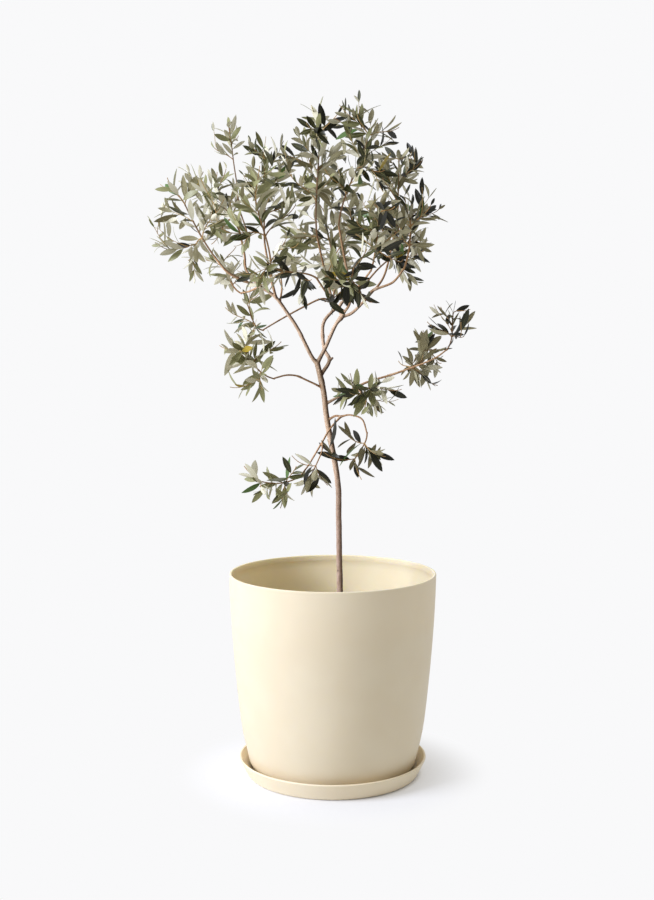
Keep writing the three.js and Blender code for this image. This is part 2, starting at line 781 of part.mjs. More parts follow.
// Leaves stand in opposite pairs, and each pair is turned a quarter from the one below it
function growLeaves(mass, twigs) {
  const roll = dice(mass.seed * 104729 + 5);
  const leaves = [];
  const wood = twigs.flatMap((twig) => twig.shares.slice(1).map((share, i) => ({
    line: new THREE.Line3(curvePoint(twig.curve, twig.shares[i]), curvePoint(twig.curve, share)), owner: twig,
  })));
  for (const twig of twigs) {
    const phase = roll() * Math.PI;
    let at = twig.leafyFrom * twig.length;
    for (let pair = 0, last = false; !last; pair++) {
      last = at > twig.length - leafPitch;
      const t = last ? lastPairAt : at / twig.length;
      const stalk = curveHeading(twig.curve, t);
      const turn = phase + (pair * Math.PI) / 2 + (roll() - 0.5) * pairStray;
      const level = square(stalk);
      const side = level.clone().multiplyScalar(Math.cos(turn))
        .addScaledVector(new THREE.Vector3().crossVectors(stalk, level), Math.sin(turn));
      for (const sign of [1, -1]) {
        const open = radians((last ? lastOpening : leafOpening) + (roll() - 0.5) * openingStray);
        const size = leafLength * leafGrowth * mass.leaf * mixed(...leafSizes, roll())
          * (last ? lastLeafSize : 1) * (1 - leafDwindle * t);
        const twist = (roll() - 0.5) * leafTwist;
        const droop = mixed(...leafDroop, roll());
        if (roll() < leafMissing) continue;
        const along = stalk.clone().multiplyScalar(Math.cos(open))
          .addScaledVector(side, sign * Math.sin(open)).addScaledVector(up, -droop).normalize();
        const upper = stalk.clone().multiplyScalar(Math.sin(open))
          .addScaledVector(side, -sign * Math.cos(open));
        upper.addScaledVector(along, -upper.dot(along)).normalize().applyAxisAngle(along, twist);
        const across = new THREE.Vector3().crossVectors(along, upper);
        const root = woodPoint(twig, t);
        for (const shrink of leafShrinks) {
          const leaf = { root, along, across, face: upper, length: size * shrink, twig };
          if (leafFits(mass, leaf) && standsFree(leaf, wood, leaves)) {
            leaf.spine = new THREE.Line3(root, root.clone().addScaledVector(along, leaf.length));
            leaves.push(leaf);
            break;
          }
        }
      }
      at += leafPitch * (1 + pitchStray * (2 * roll() - 1));
      if (at > twig.length - leafPitch * lastPitch) at = twig.length;
    }
  }
  return leaves;
}

// Six faces: from the root and from the tip to the two edges and to the ridge of the midrib
function leafGeometry({ root, along, across, face, length }) {
  const middle = root.clone().addScaledVector(along, length * leafMiddle);
  const half = length * leafHalfWidth;
  const ridge = length * leafThickness;
  const corners = [
    root,
    root.clone().addScaledVector(along, length),
    middle.clone().addScaledVector(across, half),
    middle.clone().addScaledVector(face, ridge),
    middle.clone().addScaledVector(across, -half),
  ];
  const faces = [0, 2, 3, 0, 3, 4, 0, 4, 2, 1, 3, 2, 1, 4, 3, 1, 2, 4];
  const geometry = new THREE.BufferGeometry();
  geometry.setAttribute('position', new THREE.BufferAttribute(
    new Float32Array(corners.flatMap((corner) => corner.toArray())), 3,
  ));
  geometry.setIndex(faces);
  return geometry;
}

// A stem starts inside its bough, which is then cut out of it with the gap
function twigGeometry(twig) {
  const path = twig.shares.map((t) => curvePoint(twig.curve, t));
  const radii = twig.shares.map((t) => mixed(twig.radius[0], twig.radius[1], t));
  if (!twig.seat) return tube(path, radii, twigSides);
  return tube([twig.seat, ...path], [radii[0], ...radii], stemSides);
}

const crown = Object.entries(masses).map(([name, mass]) => ({
  ...mass, name, centre: new THREE.Vector3(...mass.centre), half: new THREE.Vector3(...mass.half),
}));
for (const mass of crown) mass.stem = makeStem(mass);

// Everything that a twig or a leaf keeps clear of: the limbs, and the stems of other masses
const barriers = [];
function addBarriers(path, radii, owner) {
  for (let i = 0; i + 1 < path.length; i++) {
    const radius = radii(i / (path.length - 1));
    barriers.push({ line: new THREE.Line3(path[i], path[i + 1]), radius, owner });
  }
}
for (const limb of Object.values(limbs)) {
  addBarriers(limb.path, (share) => mixed(limb.girth[0], limb.girth[1], share), null);
}
for (const mass of crown) {
  addBarriers(stemShares.map((t) => curvePoint(mass.stem.curve, t)), () => stemRadius[0], mass);
}

for (const mass of crown) {
  const twigs = growShoots(mass);
  const leaves = growLeaves(mass, twigs);
  const wood = twigs.map((twig) => toSolid(twigGeometry(twig)));
  const blades = leaves.map((leaf) => toSolid(leafGeometry(leaf)));
  const whole = wasm.Manifold.union([...wood, ...blades]).subtract(limbs[mass.bough].cutter);
  addNode(mass.name, largestShell(whole), foliage);
}

export default group;
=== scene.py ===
# %% [markdown]
# # A potted olive tree
# A young olive tree stands in a round cream planter with a saucer. Its trunk is slim and forks into
# boughs, and leafy shoots begin at their tips. The solid model of the tree is loaded first, and this
# lesson dresses it: smooth turned shapes for the planter, one mesh with the bark's relief for the
# trunk and boughs, and thousands of small faces for twigs and leaves. Lengths are in millimetres
# until a mesh is made, and Blender gets them in metres.

import math

import bpy
import numpy as np
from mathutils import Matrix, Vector, kdtree, noise


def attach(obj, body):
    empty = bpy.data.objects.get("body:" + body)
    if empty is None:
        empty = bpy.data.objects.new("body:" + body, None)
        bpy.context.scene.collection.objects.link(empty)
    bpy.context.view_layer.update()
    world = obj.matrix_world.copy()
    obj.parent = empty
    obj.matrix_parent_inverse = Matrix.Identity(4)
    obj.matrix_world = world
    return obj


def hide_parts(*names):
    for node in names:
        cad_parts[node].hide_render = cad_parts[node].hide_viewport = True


MM = 0.001
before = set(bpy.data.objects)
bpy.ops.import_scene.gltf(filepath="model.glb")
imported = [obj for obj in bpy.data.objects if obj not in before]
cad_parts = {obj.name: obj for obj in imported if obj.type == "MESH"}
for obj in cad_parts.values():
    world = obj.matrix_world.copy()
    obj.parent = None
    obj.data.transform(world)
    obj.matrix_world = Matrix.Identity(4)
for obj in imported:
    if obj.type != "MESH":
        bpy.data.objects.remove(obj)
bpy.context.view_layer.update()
print("nodes in the frame:", len(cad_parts))

# %% [markdown]
# ## The camera
# The photograph looks slightly down on the tree from a little over two metres away. A 50 mm lens on
# a 36 mm sensor gives that view. A small program fitted the camera's place and tilt to where the
# planter's rim and the saucer's edge and foot lie in the picture.

# %% Camera
LENS = 50
CAMERA_PLACE = (-10.5, -2274.8, 794.1)
LOOK_DOWN = 4.8905

camera = bpy.data.objects.new("camera", bpy.data.cameras.new("camera"))
camera.data.lens = LENS
camera.location = Vector(CAMERA_PLACE) * MM
camera.rotation_euler = (math.radians(90 - LOOK_DOWN), 0, 0)
bpy.context.collection.objects.link(camera)
bpy.context.scene.camera = camera
print("camera at", tuple(round(v, 3) for v in camera.location))

# %% [markdown]
# ## Shader maths as Python
# A material is a graph of nodes. Writing each node and link by hand hides the idea behind the
# wiring, so a small class wraps an output socket: an expression such as 1 - mask then adds its own
# Math node. Colours go through Mix nodes, because a Math node would turn them grey.

# %% Wires and finishes
def add_node(tree, kind, settings=None, sockets=None, output=0):
    """A new node, with a value or another node's output in each socket named. It gives one output."""
    made = tree.nodes.new(kind)
    for key, value in (settings or {}).items():
        setattr(made, key, value)
    for key, value in (sockets or {}).items():
        if isinstance(value, bpy.types.NodeSocket):
            tree.links.new(value, made.inputs[key])
        else:
            made.inputs[key].default_value = value
    return made.outputs[output]


class Wire:
    """An output socket of a shader tree. Sums and products of wires add Math nodes."""

    def __init__(self, finish, socket):
        self.finish = finish
        self.socket = socket

    def maths(self, operation, a, b):
        return self.finish.node("ShaderNodeMath", {"operation": operation}, {0: a, 1: b})

    def __add__(self, other):
        return self.maths("ADD", self, other)

    def __mul__(self, other):
        return self.maths("MULTIPLY", self, other)

    def __rsub__(self, other):
        return self.maths("SUBTRACT", other, self)

    __radd__ = __add__
    __rmul__ = __mul__


class Finish:
    """A material with one Principled shader, and short ways to add nodes that feed it."""

    def __init__(self, name, **plain):
        self.material = bpy.data.materials.new(name)
        self.material.use_nodes = True
        self.tree = self.material.node_tree
        self.shader = self.tree.nodes["Principled BSDF"]
        for socket, value in plain.items():
            self.shader.inputs[socket.replace("_", " ")].default_value = value

    def node(self, kind, settings=None, sockets=None, output=0):
        plain = {k: v.socket if isinstance(v, Wire) else v for k, v in (sockets or {}).items()}
        return Wire(self, add_node(self.tree, kind, settings, plain, output))

    def feed(self, socket, wire):
        self.tree.links.new(wire.socket, self.shader.inputs[socket])

    def place(self):
        return self.node("ShaderNodeTexCoord", output="Object")

    def grain(self, size, stretch=(1, 1, 1), detail=3.0):
        """Noise from 0 to 1 with spots of a size in millimetres, drawn out along an axis if asked."""
        spots = self.node("ShaderNodeMapping", sockets={"Vector": self.place(), "Scale": stretch})
        numbers = {"Vector": spots, "Scale": 1 / (size * MM), "Detail": detail}
        return self.node("ShaderNodeTexNoise", sockets=numbers)

    def between(self, value, low, high):
        """0 below low, 1 above high, and a smooth step from one to the other."""
        sockets = {"Value": value, "From Min": low, "From Max": high}
        return self.node("ShaderNodeMapRange", {"interpolation_type": "SMOOTHSTEP"}, sockets)

    def mix(self, factor, a, b):
        return self.node("ShaderNodeMix", {"data_type": "RGBA"}, {0: factor, 6: a, 7: b}, output=2)

    def bump(self, height, depth, strength=1.0):
        """Relief that only the light sees, with its depth in millimetres."""
        sockets = {"Height": height, "Distance": depth * MM, "Strength": strength}
        self.feed("Normal", self.node("ShaderNodeBump", sockets=sockets))


def paint(code):
    """A colour as it looks on a screen, such as 8a9a5b, as the linear numbers that Blender wants."""
    shown = [int(code[i:i + 2], 16) / 255 for i in (0, 2, 4)]
    return tuple(((c + 0.055) / 1.055) ** 2.4 if c > 0.04 else c / 12.92 for c in shown) + (1.0,)


# %% [markdown]
# ## Floor and light
# The tree stands in a bright studio. The light comes mostly from the left: the planter's left side
# is nearly white, its right side is a warm grey, and inside the planter it is the other way round.
# One large area lamp does that. The shadows are filled by the bright floor and by a sky that is
# bright overhead and behind the tree and dim in front of it, like the dark half of a studio. The
# floor is dark right at the saucer, takes a soft shadow close to it and turns into the backdrop's own
# white further out, so no horizon shows.

# %% Floor
BACKDROP = paint("f9f9fa")
FLOOR_SIZE = 60.0
FLOOR_COLOR = (0.8, 0.8, 0.805, 1)
CONTACT_FROM, CONTACT_TO = 0.157, 0.168
SHADOW_FROM, SHADOW_TO = 0.165, 0.3
GLOW_NEAR = 0.3
BOUNCE = 0.8

bpy.ops.mesh.primitive_plane_add(size=FLOOR_SIZE)
floor = bpy.context.object
floor.name = "floor"

floor_finish = Finish("floor", Base_Color=FLOOR_COLOR, Roughness=0.9)
seen = floor_finish.node("ShaderNodeLightPath", output="Is Camera Ray")
bright = BOUNCE + (1 - BOUNCE) * seen
glow = floor_finish.node("ShaderNodeEmission", sockets={"Color": BACKDROP, "Strength": bright})
flat = floor_finish.node(
    "ShaderNodeVectorMath", {"operation": "MULTIPLY"}, {0: floor_finish.place(), 1: (1, 1, 0)}
)
distance = floor_finish.node("ShaderNodeVectorMath", {"operation": "LENGTH"}, {0: flat}, output="Value")
share = GLOW_NEAR * floor_finish.between(distance, CONTACT_FROM, CONTACT_TO)
share = share + (1 - GLOW_NEAR) * floor_finish.between(distance, SHADOW_FROM, SHADOW_TO)
parts = {0: share, 1: floor_finish.shader.outputs[0], 2: glow}
blend = floor_finish.node("ShaderNodeMixShader", sockets=parts)
surface = floor_finish.tree.nodes["Material Output"].inputs["Surface"]
floor_finish.tree.links.new(blend.socket, surface)
floor.data.materials.append(floor_finish.material)

# %% Light
SKY_WAY = (-0.2, 0.5, 0.84)
SKY_DIM, SKY_BRIGHT = 0.0, 1.0
LAMP_AIM = Vector((0, 0, 0.6))
LAMP_BEARING = 204
LAMP_CLIMB = 24
LAMP_DISTANCE = 3.3
LAMP_SIZE = 1.5
LAMP_POWER = 124.0
LAMP_COLOR = (0.95, 1.0, 1.18)

world = bpy.data.worlds.new("studio")
world.use_nodes = True
bpy.context.scene.world = world
tree = world.node_tree
way = add_node(tree, "ShaderNodeTexCoord", output="Generated")
facing = add_node(tree, "ShaderNodeVectorMath", {"operation": "DOT_PRODUCT"}, {0: way, 1: SKY_WAY}, "Value")
span = {"Value": facing, "From Min": -1, "To Min": SKY_DIM, "To Max": SKY_BRIGHT}
dimming = add_node(tree, "ShaderNodeMapRange", sockets=span)
seen = add_node(tree, "ShaderNodeLightPath", output="Is Camera Ray")
level = add_node(tree, "ShaderNodeMapRange", sockets={"Value": seen, "To Min": dimming})
sky = tree.nodes["Background"]
sky.inputs["Color"].default_value = BACKDROP
tree.links.new(level, sky.inputs["Strength"])

lamp = bpy.data.objects.new("window_light", bpy.data.lights.new("window_light", "AREA"))
lamp.data.size = LAMP_SIZE
lamp.data.energy = LAMP_POWER
lamp.data.color = LAMP_COLOR
turn, rise = math.radians(LAMP_BEARING), math.radians(LAMP_CLIMB)
lamp_way = Vector((math.cos(turn) * math.cos(rise), math.sin(turn) * math.cos(rise), math.sin(rise)))
lamp.location = LAMP_AIM + lamp_way * LAMP_DISTANCE
lamp.rotation_euler = lamp_way.to_track_quat("Z", "Y").to_euler()
bpy.context.collection.objects.link(lamp)
bpy.context.scene.view_settings.view_transform = "Standard"
print("lamp at", tuple(round(v, 2) for v in lamp.location))

# %% [markdown]
# ## From points to meshes
# Every piece of this tree is built from arrays of points and faces. Blender can take them one face
# at a time, but a crown has a hundred thousand, so a pile gathers blocks of faces in numpy arrays
# and hands them over in one go. The same pile joins the leaves of many shoots into one mesh.

# %% A pile of faces
SHARP = math.radians(38)


class Pile:
    """Points in millimetres, faces, and a material slot for every face, for one mesh."""

    def __init__(self):
        self.points = []
        self.faces = []
        self.slots = []
        self.count = 0

    def add(self, points, faces, slots):
        points = np.asarray(points, float).reshape(-1, 3)
        self.faces += [np.asarray(block, int) + self.count for block in faces]
        self.slots.append(np.broadcast_to(slots, sum(len(block) for block in faces)))
        self.points.append(points)
        self.count += len(points)

    def mesh(self, name, scale=MM):
        """The pile as a mesh, in metres unless another scale is given."""
        made = bpy.data.meshes.new(name)
        points = np.concatenate(self.points) * scale
        sizes = np.concatenate([np.full(len(block), block.shape[1]) for block in self.faces])
        corners = np.concatenate([block.ravel() for block in self.faces])
        made.vertices.add(len(points))
        made.vertices.foreach_set("co", points.ravel())
        made.loops.add(len(corners))
        made.loops.foreach_set("vertex_index", corners.astype(np.int32))
        made.polygons.add(len(sizes))
        made.polygons.foreach_set("loop_start", (np.cumsum(sizes) - sizes).astype(np.int32))
        made.polygons.foreach_set("material_index", np.concatenate(self.slots).astype(np.int32))
        made.update(calc_edges=True)
        made.validate()
        return made

    def piece(self, name, finishes, nodes, slot):
        """The pile as an object that stands for CAD nodes."""
        return dressed(name, self.mesh(name), finishes, nodes)


def dressed(name, mesh, finishes, nodes):
    """An object for a mesh, smooth but for its sharp edges, in the place of CAD nodes."""
    mesh.shade_smooth()
    mesh.set_sharp_from_angle(angle=SHARP)
    for finish in finishes:
        mesh.materials.append(finish.material)
    piece = bpy.data.objects.new(name, mesh)
    bpy.context.collection.objects.link(piece)
    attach(piece, "root")
    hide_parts(*nodes)
    triangles = sum(len(face.vertices) - 2 for face in mesh.polygons)
    print(f"{name}: {triangles} triangles")
    return piece


# %% [markdown]
# ## Planter and saucer
# Both are moulded plastic and round, so each is one outline turned round the upright axis, as on a
# potter's wheel. The solids are turned in a few flat facets. Here the same outline gets rounded
# lips and many more steps, so that its edge is a true curve. The planter is widest at its rim and
# draws in towards a large round corner at its foot, and a thin band runs round inside the rim.

# %% Turning an outline
TURN_STEPS = 224


def mixed(a, b, share):
    return a + (b - a) * share


def arc(centre, radius, start, end, steps):
    """Points of an arc, from one angle to another in degrees."""
    turns = np.radians(np.linspace(start, end, steps + 1))
    return [(centre[0] + radius * math.cos(t), centre[1] + radius * math.sin(t)) for t in turns]


def ring_faces(rings, around):
    """Quads between rings of points, and two fans that close the ends at the two points after them."""
    k = np.arange(around)
    after = (k + 1) % around
    top = (rings - 1) * around
    quads = [
        np.stack([low + k, low + after, low + around + after, low + around + k], 1)
        for low in range(0, top, around)
    ]
    fans = [
        np.stack([np.full(around, rings * around), after, k], 1),
        np.stack([np.full(around, rings * around + 1), top + k, top + after], 1),
    ]
    return quads, fans


def turned(outline, inside=0):
    """A pile with an outline of radius and height turned round the upright axis. Its ends lie on it.
    The last rings, as many as are inside, get the second finish, and so does the last fan."""
    angles = np.linspace(0, 2 * math.pi, TURN_STEPS, endpoint=False)
    radii, heights = np.array(outline[1:-1]).T[:, :, None]
    rings = np.stack(np.broadcast_arrays(radii * np.cos(angles), radii * np.sin(angles), heights), -1)
    ends = [(0, 0, outline[0][1]), (0, 0, outline[-1][1])]
    quads, fans = ring_faces(len(rings), TURN_STEPS)
    slots = np.zeros((len(rings) + 1, TURN_STEPS), int)
    if inside:
        slots[len(rings) - 1 - inside:-2] = 1
        slots[-1] = 1
    pile = Pile()
    pile.add(np.vstack([rings.reshape(-1, 3), ends]), quads + fans, slots.ravel())
    return pile


# %% Cream plastic
# The real plastic is matt and nearly even. A faint cloudiness keeps it from looking like paint,
# and a fine grain breaks up its sheen. The planter's thin wall lets some light through, which shows
# inside it on the left. Its outside hardly glows, and nor does the thicker saucer. Light and shade
# are painted in as well: the inside is painted lighter, as painted light, the outside a little
# duller, as painted shade, and the foot darker, as painted shade that deepens the groove above the
# saucer. They were set by comparing renders with the photograph.
# Painted light inside the planter and painted shade on its outside and at its foot
OUTSIDE_SHADED = paint("e7d9bc"), paint("e5d6b8")
INSIDE_LIT = paint("f4e5c6"), paint("f2e2c1")
DISH = paint("ecdec1"), paint("eadbbc")
FOOT_SHADE = paint("a8966f")
FOOT_SHADE_FROM, FOOT_SHADE_TO = 0.006, 0.036
THROUGH_COLOR = (1.0, 0.85, 0.4)
THROUGH_DEPTH = 0.008


def cream_plastic(name, through, colors, foot=False):
    """Cream plastic that lets a share of the light in under its surface."""
    cream = Finish(
        name, Roughness=0.5, Specular_IOR_Level=0.4, Subsurface_Weight=through,
        Subsurface_Radius=THROUGH_COLOR, Subsurface_Scale=THROUGH_DEPTH,
    )
    cloud = cream.between(cream.grain(70, detail=2.0), 0.3, 0.7)
    tone = cream.mix(cloud, *colors)
    if foot:
        # The foot is painted darker towards the saucer: painted shade in the groove above it.
        height = cream.node("ShaderNodeSeparateXYZ", sockets={0: cream.place()}, output="Z")
        tone = cream.mix(cream.between(height, FOOT_SHADE_FROM, FOOT_SHADE_TO), FOOT_SHADE, tone)
    cream.feed("Base Color", tone)
    cream.feed("Roughness", 0.46 + 0.1 * cream.grain(9))
    cream.bump(cream.grain(0.9, detail=2.0), 0.03, 0.5)
    return cream


# %% Planter
RIM_RADIUS = 190.0
RIM_HEIGHT = 374.0
POT_TAPER = 32.7
TAPER_POWER = 1.58
HEEL_HEIGHT = 110.0
HEEL_DEPTH = 13.0
POT_CORNER = 30.0
CORNER_END = -16
CORNER_STEPS = 14
WALL_STEPS = 26
POT_WALL = 4.0
BAND_HEIGHT = 11.0
BAND_STEP = 0.5
LIP_ROUND = 1.8
SAUCER_FLOOR = 5.0


def pot_radius(height):
    """The planter's outer radius: upright below the rim, drawn in towards the foot and more at its heel."""
    heel = max(0.0, 1 - height / HEEL_HEIGHT) ** 2
    return RIM_RADIUS - POT_TAPER * ((RIM_HEIGHT - height) / RIM_HEIGHT) ** TAPER_POWER - HEEL_DEPTH * heel


def pot_skin(inset, top):
    """The planter's corner and wall from the foot up, moved in by an inset."""
    foot = SAUCER_FLOOR + POT_CORNER
    middle = (pot_radius(foot) - POT_CORNER, foot)
    corner = arc(middle, POT_CORNER - inset, -90, CORNER_END, CORNER_STEPS)
    heights = np.linspace(foot, top, WALL_STEPS + 1)[1:]
    return corner + [(pot_radius(h) - inset, h) for h in heights]


band_radius = RIM_RADIUS - POT_WALL - BAND_STEP
band_foot = RIM_HEIGHT - BAND_HEIGHT
inner_skin = (
    arc((band_radius + LIP_ROUND, RIM_HEIGHT - LIP_ROUND), LIP_ROUND, 90, 180, 6)
    + arc((band_radius + BAND_STEP / 2, band_foot), BAND_STEP / 2, 180, 270, 3)
    + pot_skin(POT_WALL, band_foot - BAND_STEP)[::-1]
)
pot_outline = (
    [(0, SAUCER_FLOOR)]
    + pot_skin(0, RIM_HEIGHT - 2 * LIP_ROUND)
    + arc((RIM_RADIUS - LIP_ROUND, RIM_HEIGHT - LIP_ROUND), LIP_ROUND, 0, 90, 6)
    + inner_skin
    + [(0, SAUCER_FLOOR + POT_WALL)]
)
pot_finishes = [
    cream_plastic("planter_outside", 0.12, OUTSIDE_SHADED, foot=True),
    cream_plastic("planter_inside", 0.55, INSIDE_LIT),
]
turned(pot_outline, inside=len(inner_skin)).piece("planter", pot_finishes, ["pot"], "planter")

# %% Saucer
SAUCER_HEIGHT = 32.5
SAUCER_RIM = 173.0
SAUCER_FOOT = 157.0
SAUCER_WALL = 4.2
SAUCER_EDGE = 7.0
SAUCER_LIP = 1.9

slope = (SAUCER_RIM - SAUCER_FOOT - SAUCER_EDGE / 2) / (SAUCER_HEIGHT - SAUCER_EDGE)
inner_foot = SAUCER_FOOT - SAUCER_EDGE
saucer_outline = (
    [(0, 0)]
    + arc((SAUCER_FOOT - SAUCER_EDGE / 2, SAUCER_EDGE), SAUCER_EDGE, -90, -25, 8)
    + arc((SAUCER_RIM - SAUCER_LIP, SAUCER_HEIGHT - SAUCER_LIP), SAUCER_LIP, -20, 90, 8)
    + arc((SAUCER_RIM - SAUCER_WALL + SAUCER_LIP, SAUCER_HEIGHT - SAUCER_LIP), SAUCER_LIP, 90, 160, 5)
    + [(inner_foot + SAUCER_EDGE * slope, SAUCER_FLOOR + SAUCER_EDGE)]
    + arc((inner_foot - SAUCER_EDGE, SAUCER_FLOOR + SAUCER_EDGE), SAUCER_EDGE, -20, -90, 5)
    + [(0, SAUCER_FLOOR)]
)
saucer_finish = cream_plastic("saucer_plastic", 0.1, DISH)
turned(saucer_outline).piece("saucer_dish", [saucer_finish], ["saucer"], "planter")

# %% [markdown]
# ## Potting mix
# From the photograph's height the planter hides its filling, but from above it shows. Real potting
# mix is dark, damp and lumpy, with chips of bark and a few pale grains. A bumpy surface carries the
# large lumps, and loose crumbs lie on it, each a ball of twenty faces pushed out of shape.

# %% Soil surface
SOIL_LEVEL = 290.0
SOIL_EDGE = 0.4
SOIL_DEPTH = 24.0
SOIL_FOOT_INSET = 3
SOIL_RINGS = 70
SOIL_SINK = 2
SOIL_LUMPS = ((38, 3.0), (11, 2.2), (4.5, 1.3))
MOUND_HEIGHT, MOUND_WIDTH = 5, 22
EDGE_FALL, EDGE_WIDTH = 3, 9
TRUNK_FOOT = (14.0, 0.0)

soil_radius = pot_radius(SOIL_LEVEL) - POT_WALL - SOIL_EDGE


def soil_height(x, y):
    """Lumps of three sizes, a small mound round the trunk and a fall towards the planter's wall."""
    lumps = sum(
        height * noise.noise(Vector((x / size, y / size, size))) for size, height in SOIL_LUMPS
    )
    mound = MOUND_HEIGHT * math.exp(-math.hypot(x - TRUNK_FOOT[0], y - TRUNK_FOOT[1]) / MOUND_WIDTH)
    fall = EDGE_FALL * math.exp(-(soil_radius - math.hypot(x, y)) / EDGE_WIDTH)
    return SOIL_LEVEL - SOIL_SINK + lumps + mound - fall


soil_floor = SOIL_LEVEL - SOIL_DEPTH
outline = [(0, soil_floor), (soil_radius - SOIL_FOOT_INSET, soil_floor)]
outline += [(soil_radius * (1 - i / SOIL_RINGS), SOIL_LEVEL) for i in range(SOIL_RINGS + 1)]
soil_pile = turned(outline)
for point in soil_pile.points[0]:
    if point[2] > SOIL_LEVEL - 1:
        point[2] = soil_height(point[0], point[1])

soil = Finish("potting_mix", Roughness=0.95, Specular_IOR_Level=0.2)
damp = soil.between(soil.grain(22), 0.35, 0.65)
soil.feed("Base Color", soil.mix(damp, paint("33271d"), paint("57432f")))
soil.feed("Roughness", 0.8 + 0.18 * soil.grain(6))
soil.bump(soil.grain(2.2, detail=6.0), 1.2, 0.9)
soil_pile.piece("soil_surface", [soil], ["soil"], "soil")

# %% Loose crumbs
CRUMBS = 2600
CRUMB_SEED = 31
CRUMB_SIZES = (0.9, 4.2)
CRUMB_ROUGHNESS = (0.75, 1.2)
CRUMB_INSET = 5
CRUMB_RISE = 0.35
CHIP_SHAPE = (1.7, 1.0, 0.45)
CHIP_LEVELLING = (1, 1, 0.35)
CHIP_UPRIGHT = np.diag((0, 0, 0.6))
PALE_SHARE = 0.03
CHIP_SHARE = 0.3
NEIGHBOUR = 1.2

golden = (1 + 5**0.5) / 2
corners = [(0, a, b * golden) for a in (1, -1) for b in (1, -1)]
ball = np.array([np.roll(corner, -k) for k in range(3) for corner in corners])
ball /= np.linalg.norm(ball[0])
near = np.linalg.norm(ball[:, None] - ball, axis=2) < NEIGHBOUR
ball_faces = np.array(
    [
        (i, j, k) if np.dot(np.cross(ball[j] - ball[i], ball[k] - ball[i]), ball[i]) > 0 else (i, k, j)
        for i in range(len(ball)) for j in range(i) for k in range(j)
        if near[i, j] and near[j, k] and near[i, k]
    ]
)
luck = np.random.default_rng(CRUMB_SEED)
crumb_pile = Pile()
for _ in range(CRUMBS):
    away = (soil_radius - CRUMB_INSET) * math.sqrt(luck.random())
    turn = luck.random() * 2 * math.pi
    x, y = away * math.cos(turn), away * math.sin(turn)
    size = mixed(*CRUMB_SIZES, luck.random() ** 3)
    kind = luck.random()
    axes = np.linalg.qr(luck.normal(size=(3, 3)))[0]
    shape = ball * size * luck.uniform(*CRUMB_ROUGHNESS, (len(ball), 1))
    if kind < CHIP_SHARE:
        shape = shape * CHIP_SHAPE
        axes = axes * CHIP_LEVELLING + CHIP_UPRIGHT
    slot = 1 if kind < CHIP_SHARE else 2 if kind > 1 - PALE_SHARE else 0
    crumb_pile.add(shape @ axes.T + (x, y, soil_height(x, y) + size * CRUMB_RISE), [ball_faces], slot)

chip = Finish("bark_chip", Roughness=0.85, Specular_IOR_Level=0.25)
chip.feed("Base Color", chip.mix(chip.between(chip.grain(5), 0.3, 0.7), paint("6b4a30"), paint("4a3222")))
chip.bump(chip.grain(0.8, detail=4.0), 0.3)
pumice = Finish("pale_grain", Roughness=0.95, Specular_IOR_Level=0.2)
pumice.feed("Base Color", pumice.mix(pumice.grain(1.5), paint("d8d2c2"), paint("a89f8c")))
pumice.bump(pumice.grain(0.6, detail=4.0), 0.3)
crumb_pile.piece("soil_crumbs", [soil, chip, pumice], ["soil"], "soil")

# %% [markdown]
# ## Trunk and boughs
# Each limb starts on another one, a share of the way along it, and goes on in reaches: a length, a
# bearing counted from +X and a climb. These are the limbs of the solid model, repeated here, and a
# smooth curve runs through their bends. The bends were read off the photograph, or guessed where it
# hides them, each with a guessed depth, and a small program turned them into these reaches. One could
# leave the limbs as separate tubes, but where a real bough leaves the trunk the bark runs over the
# fork, so they are melted into one skin.

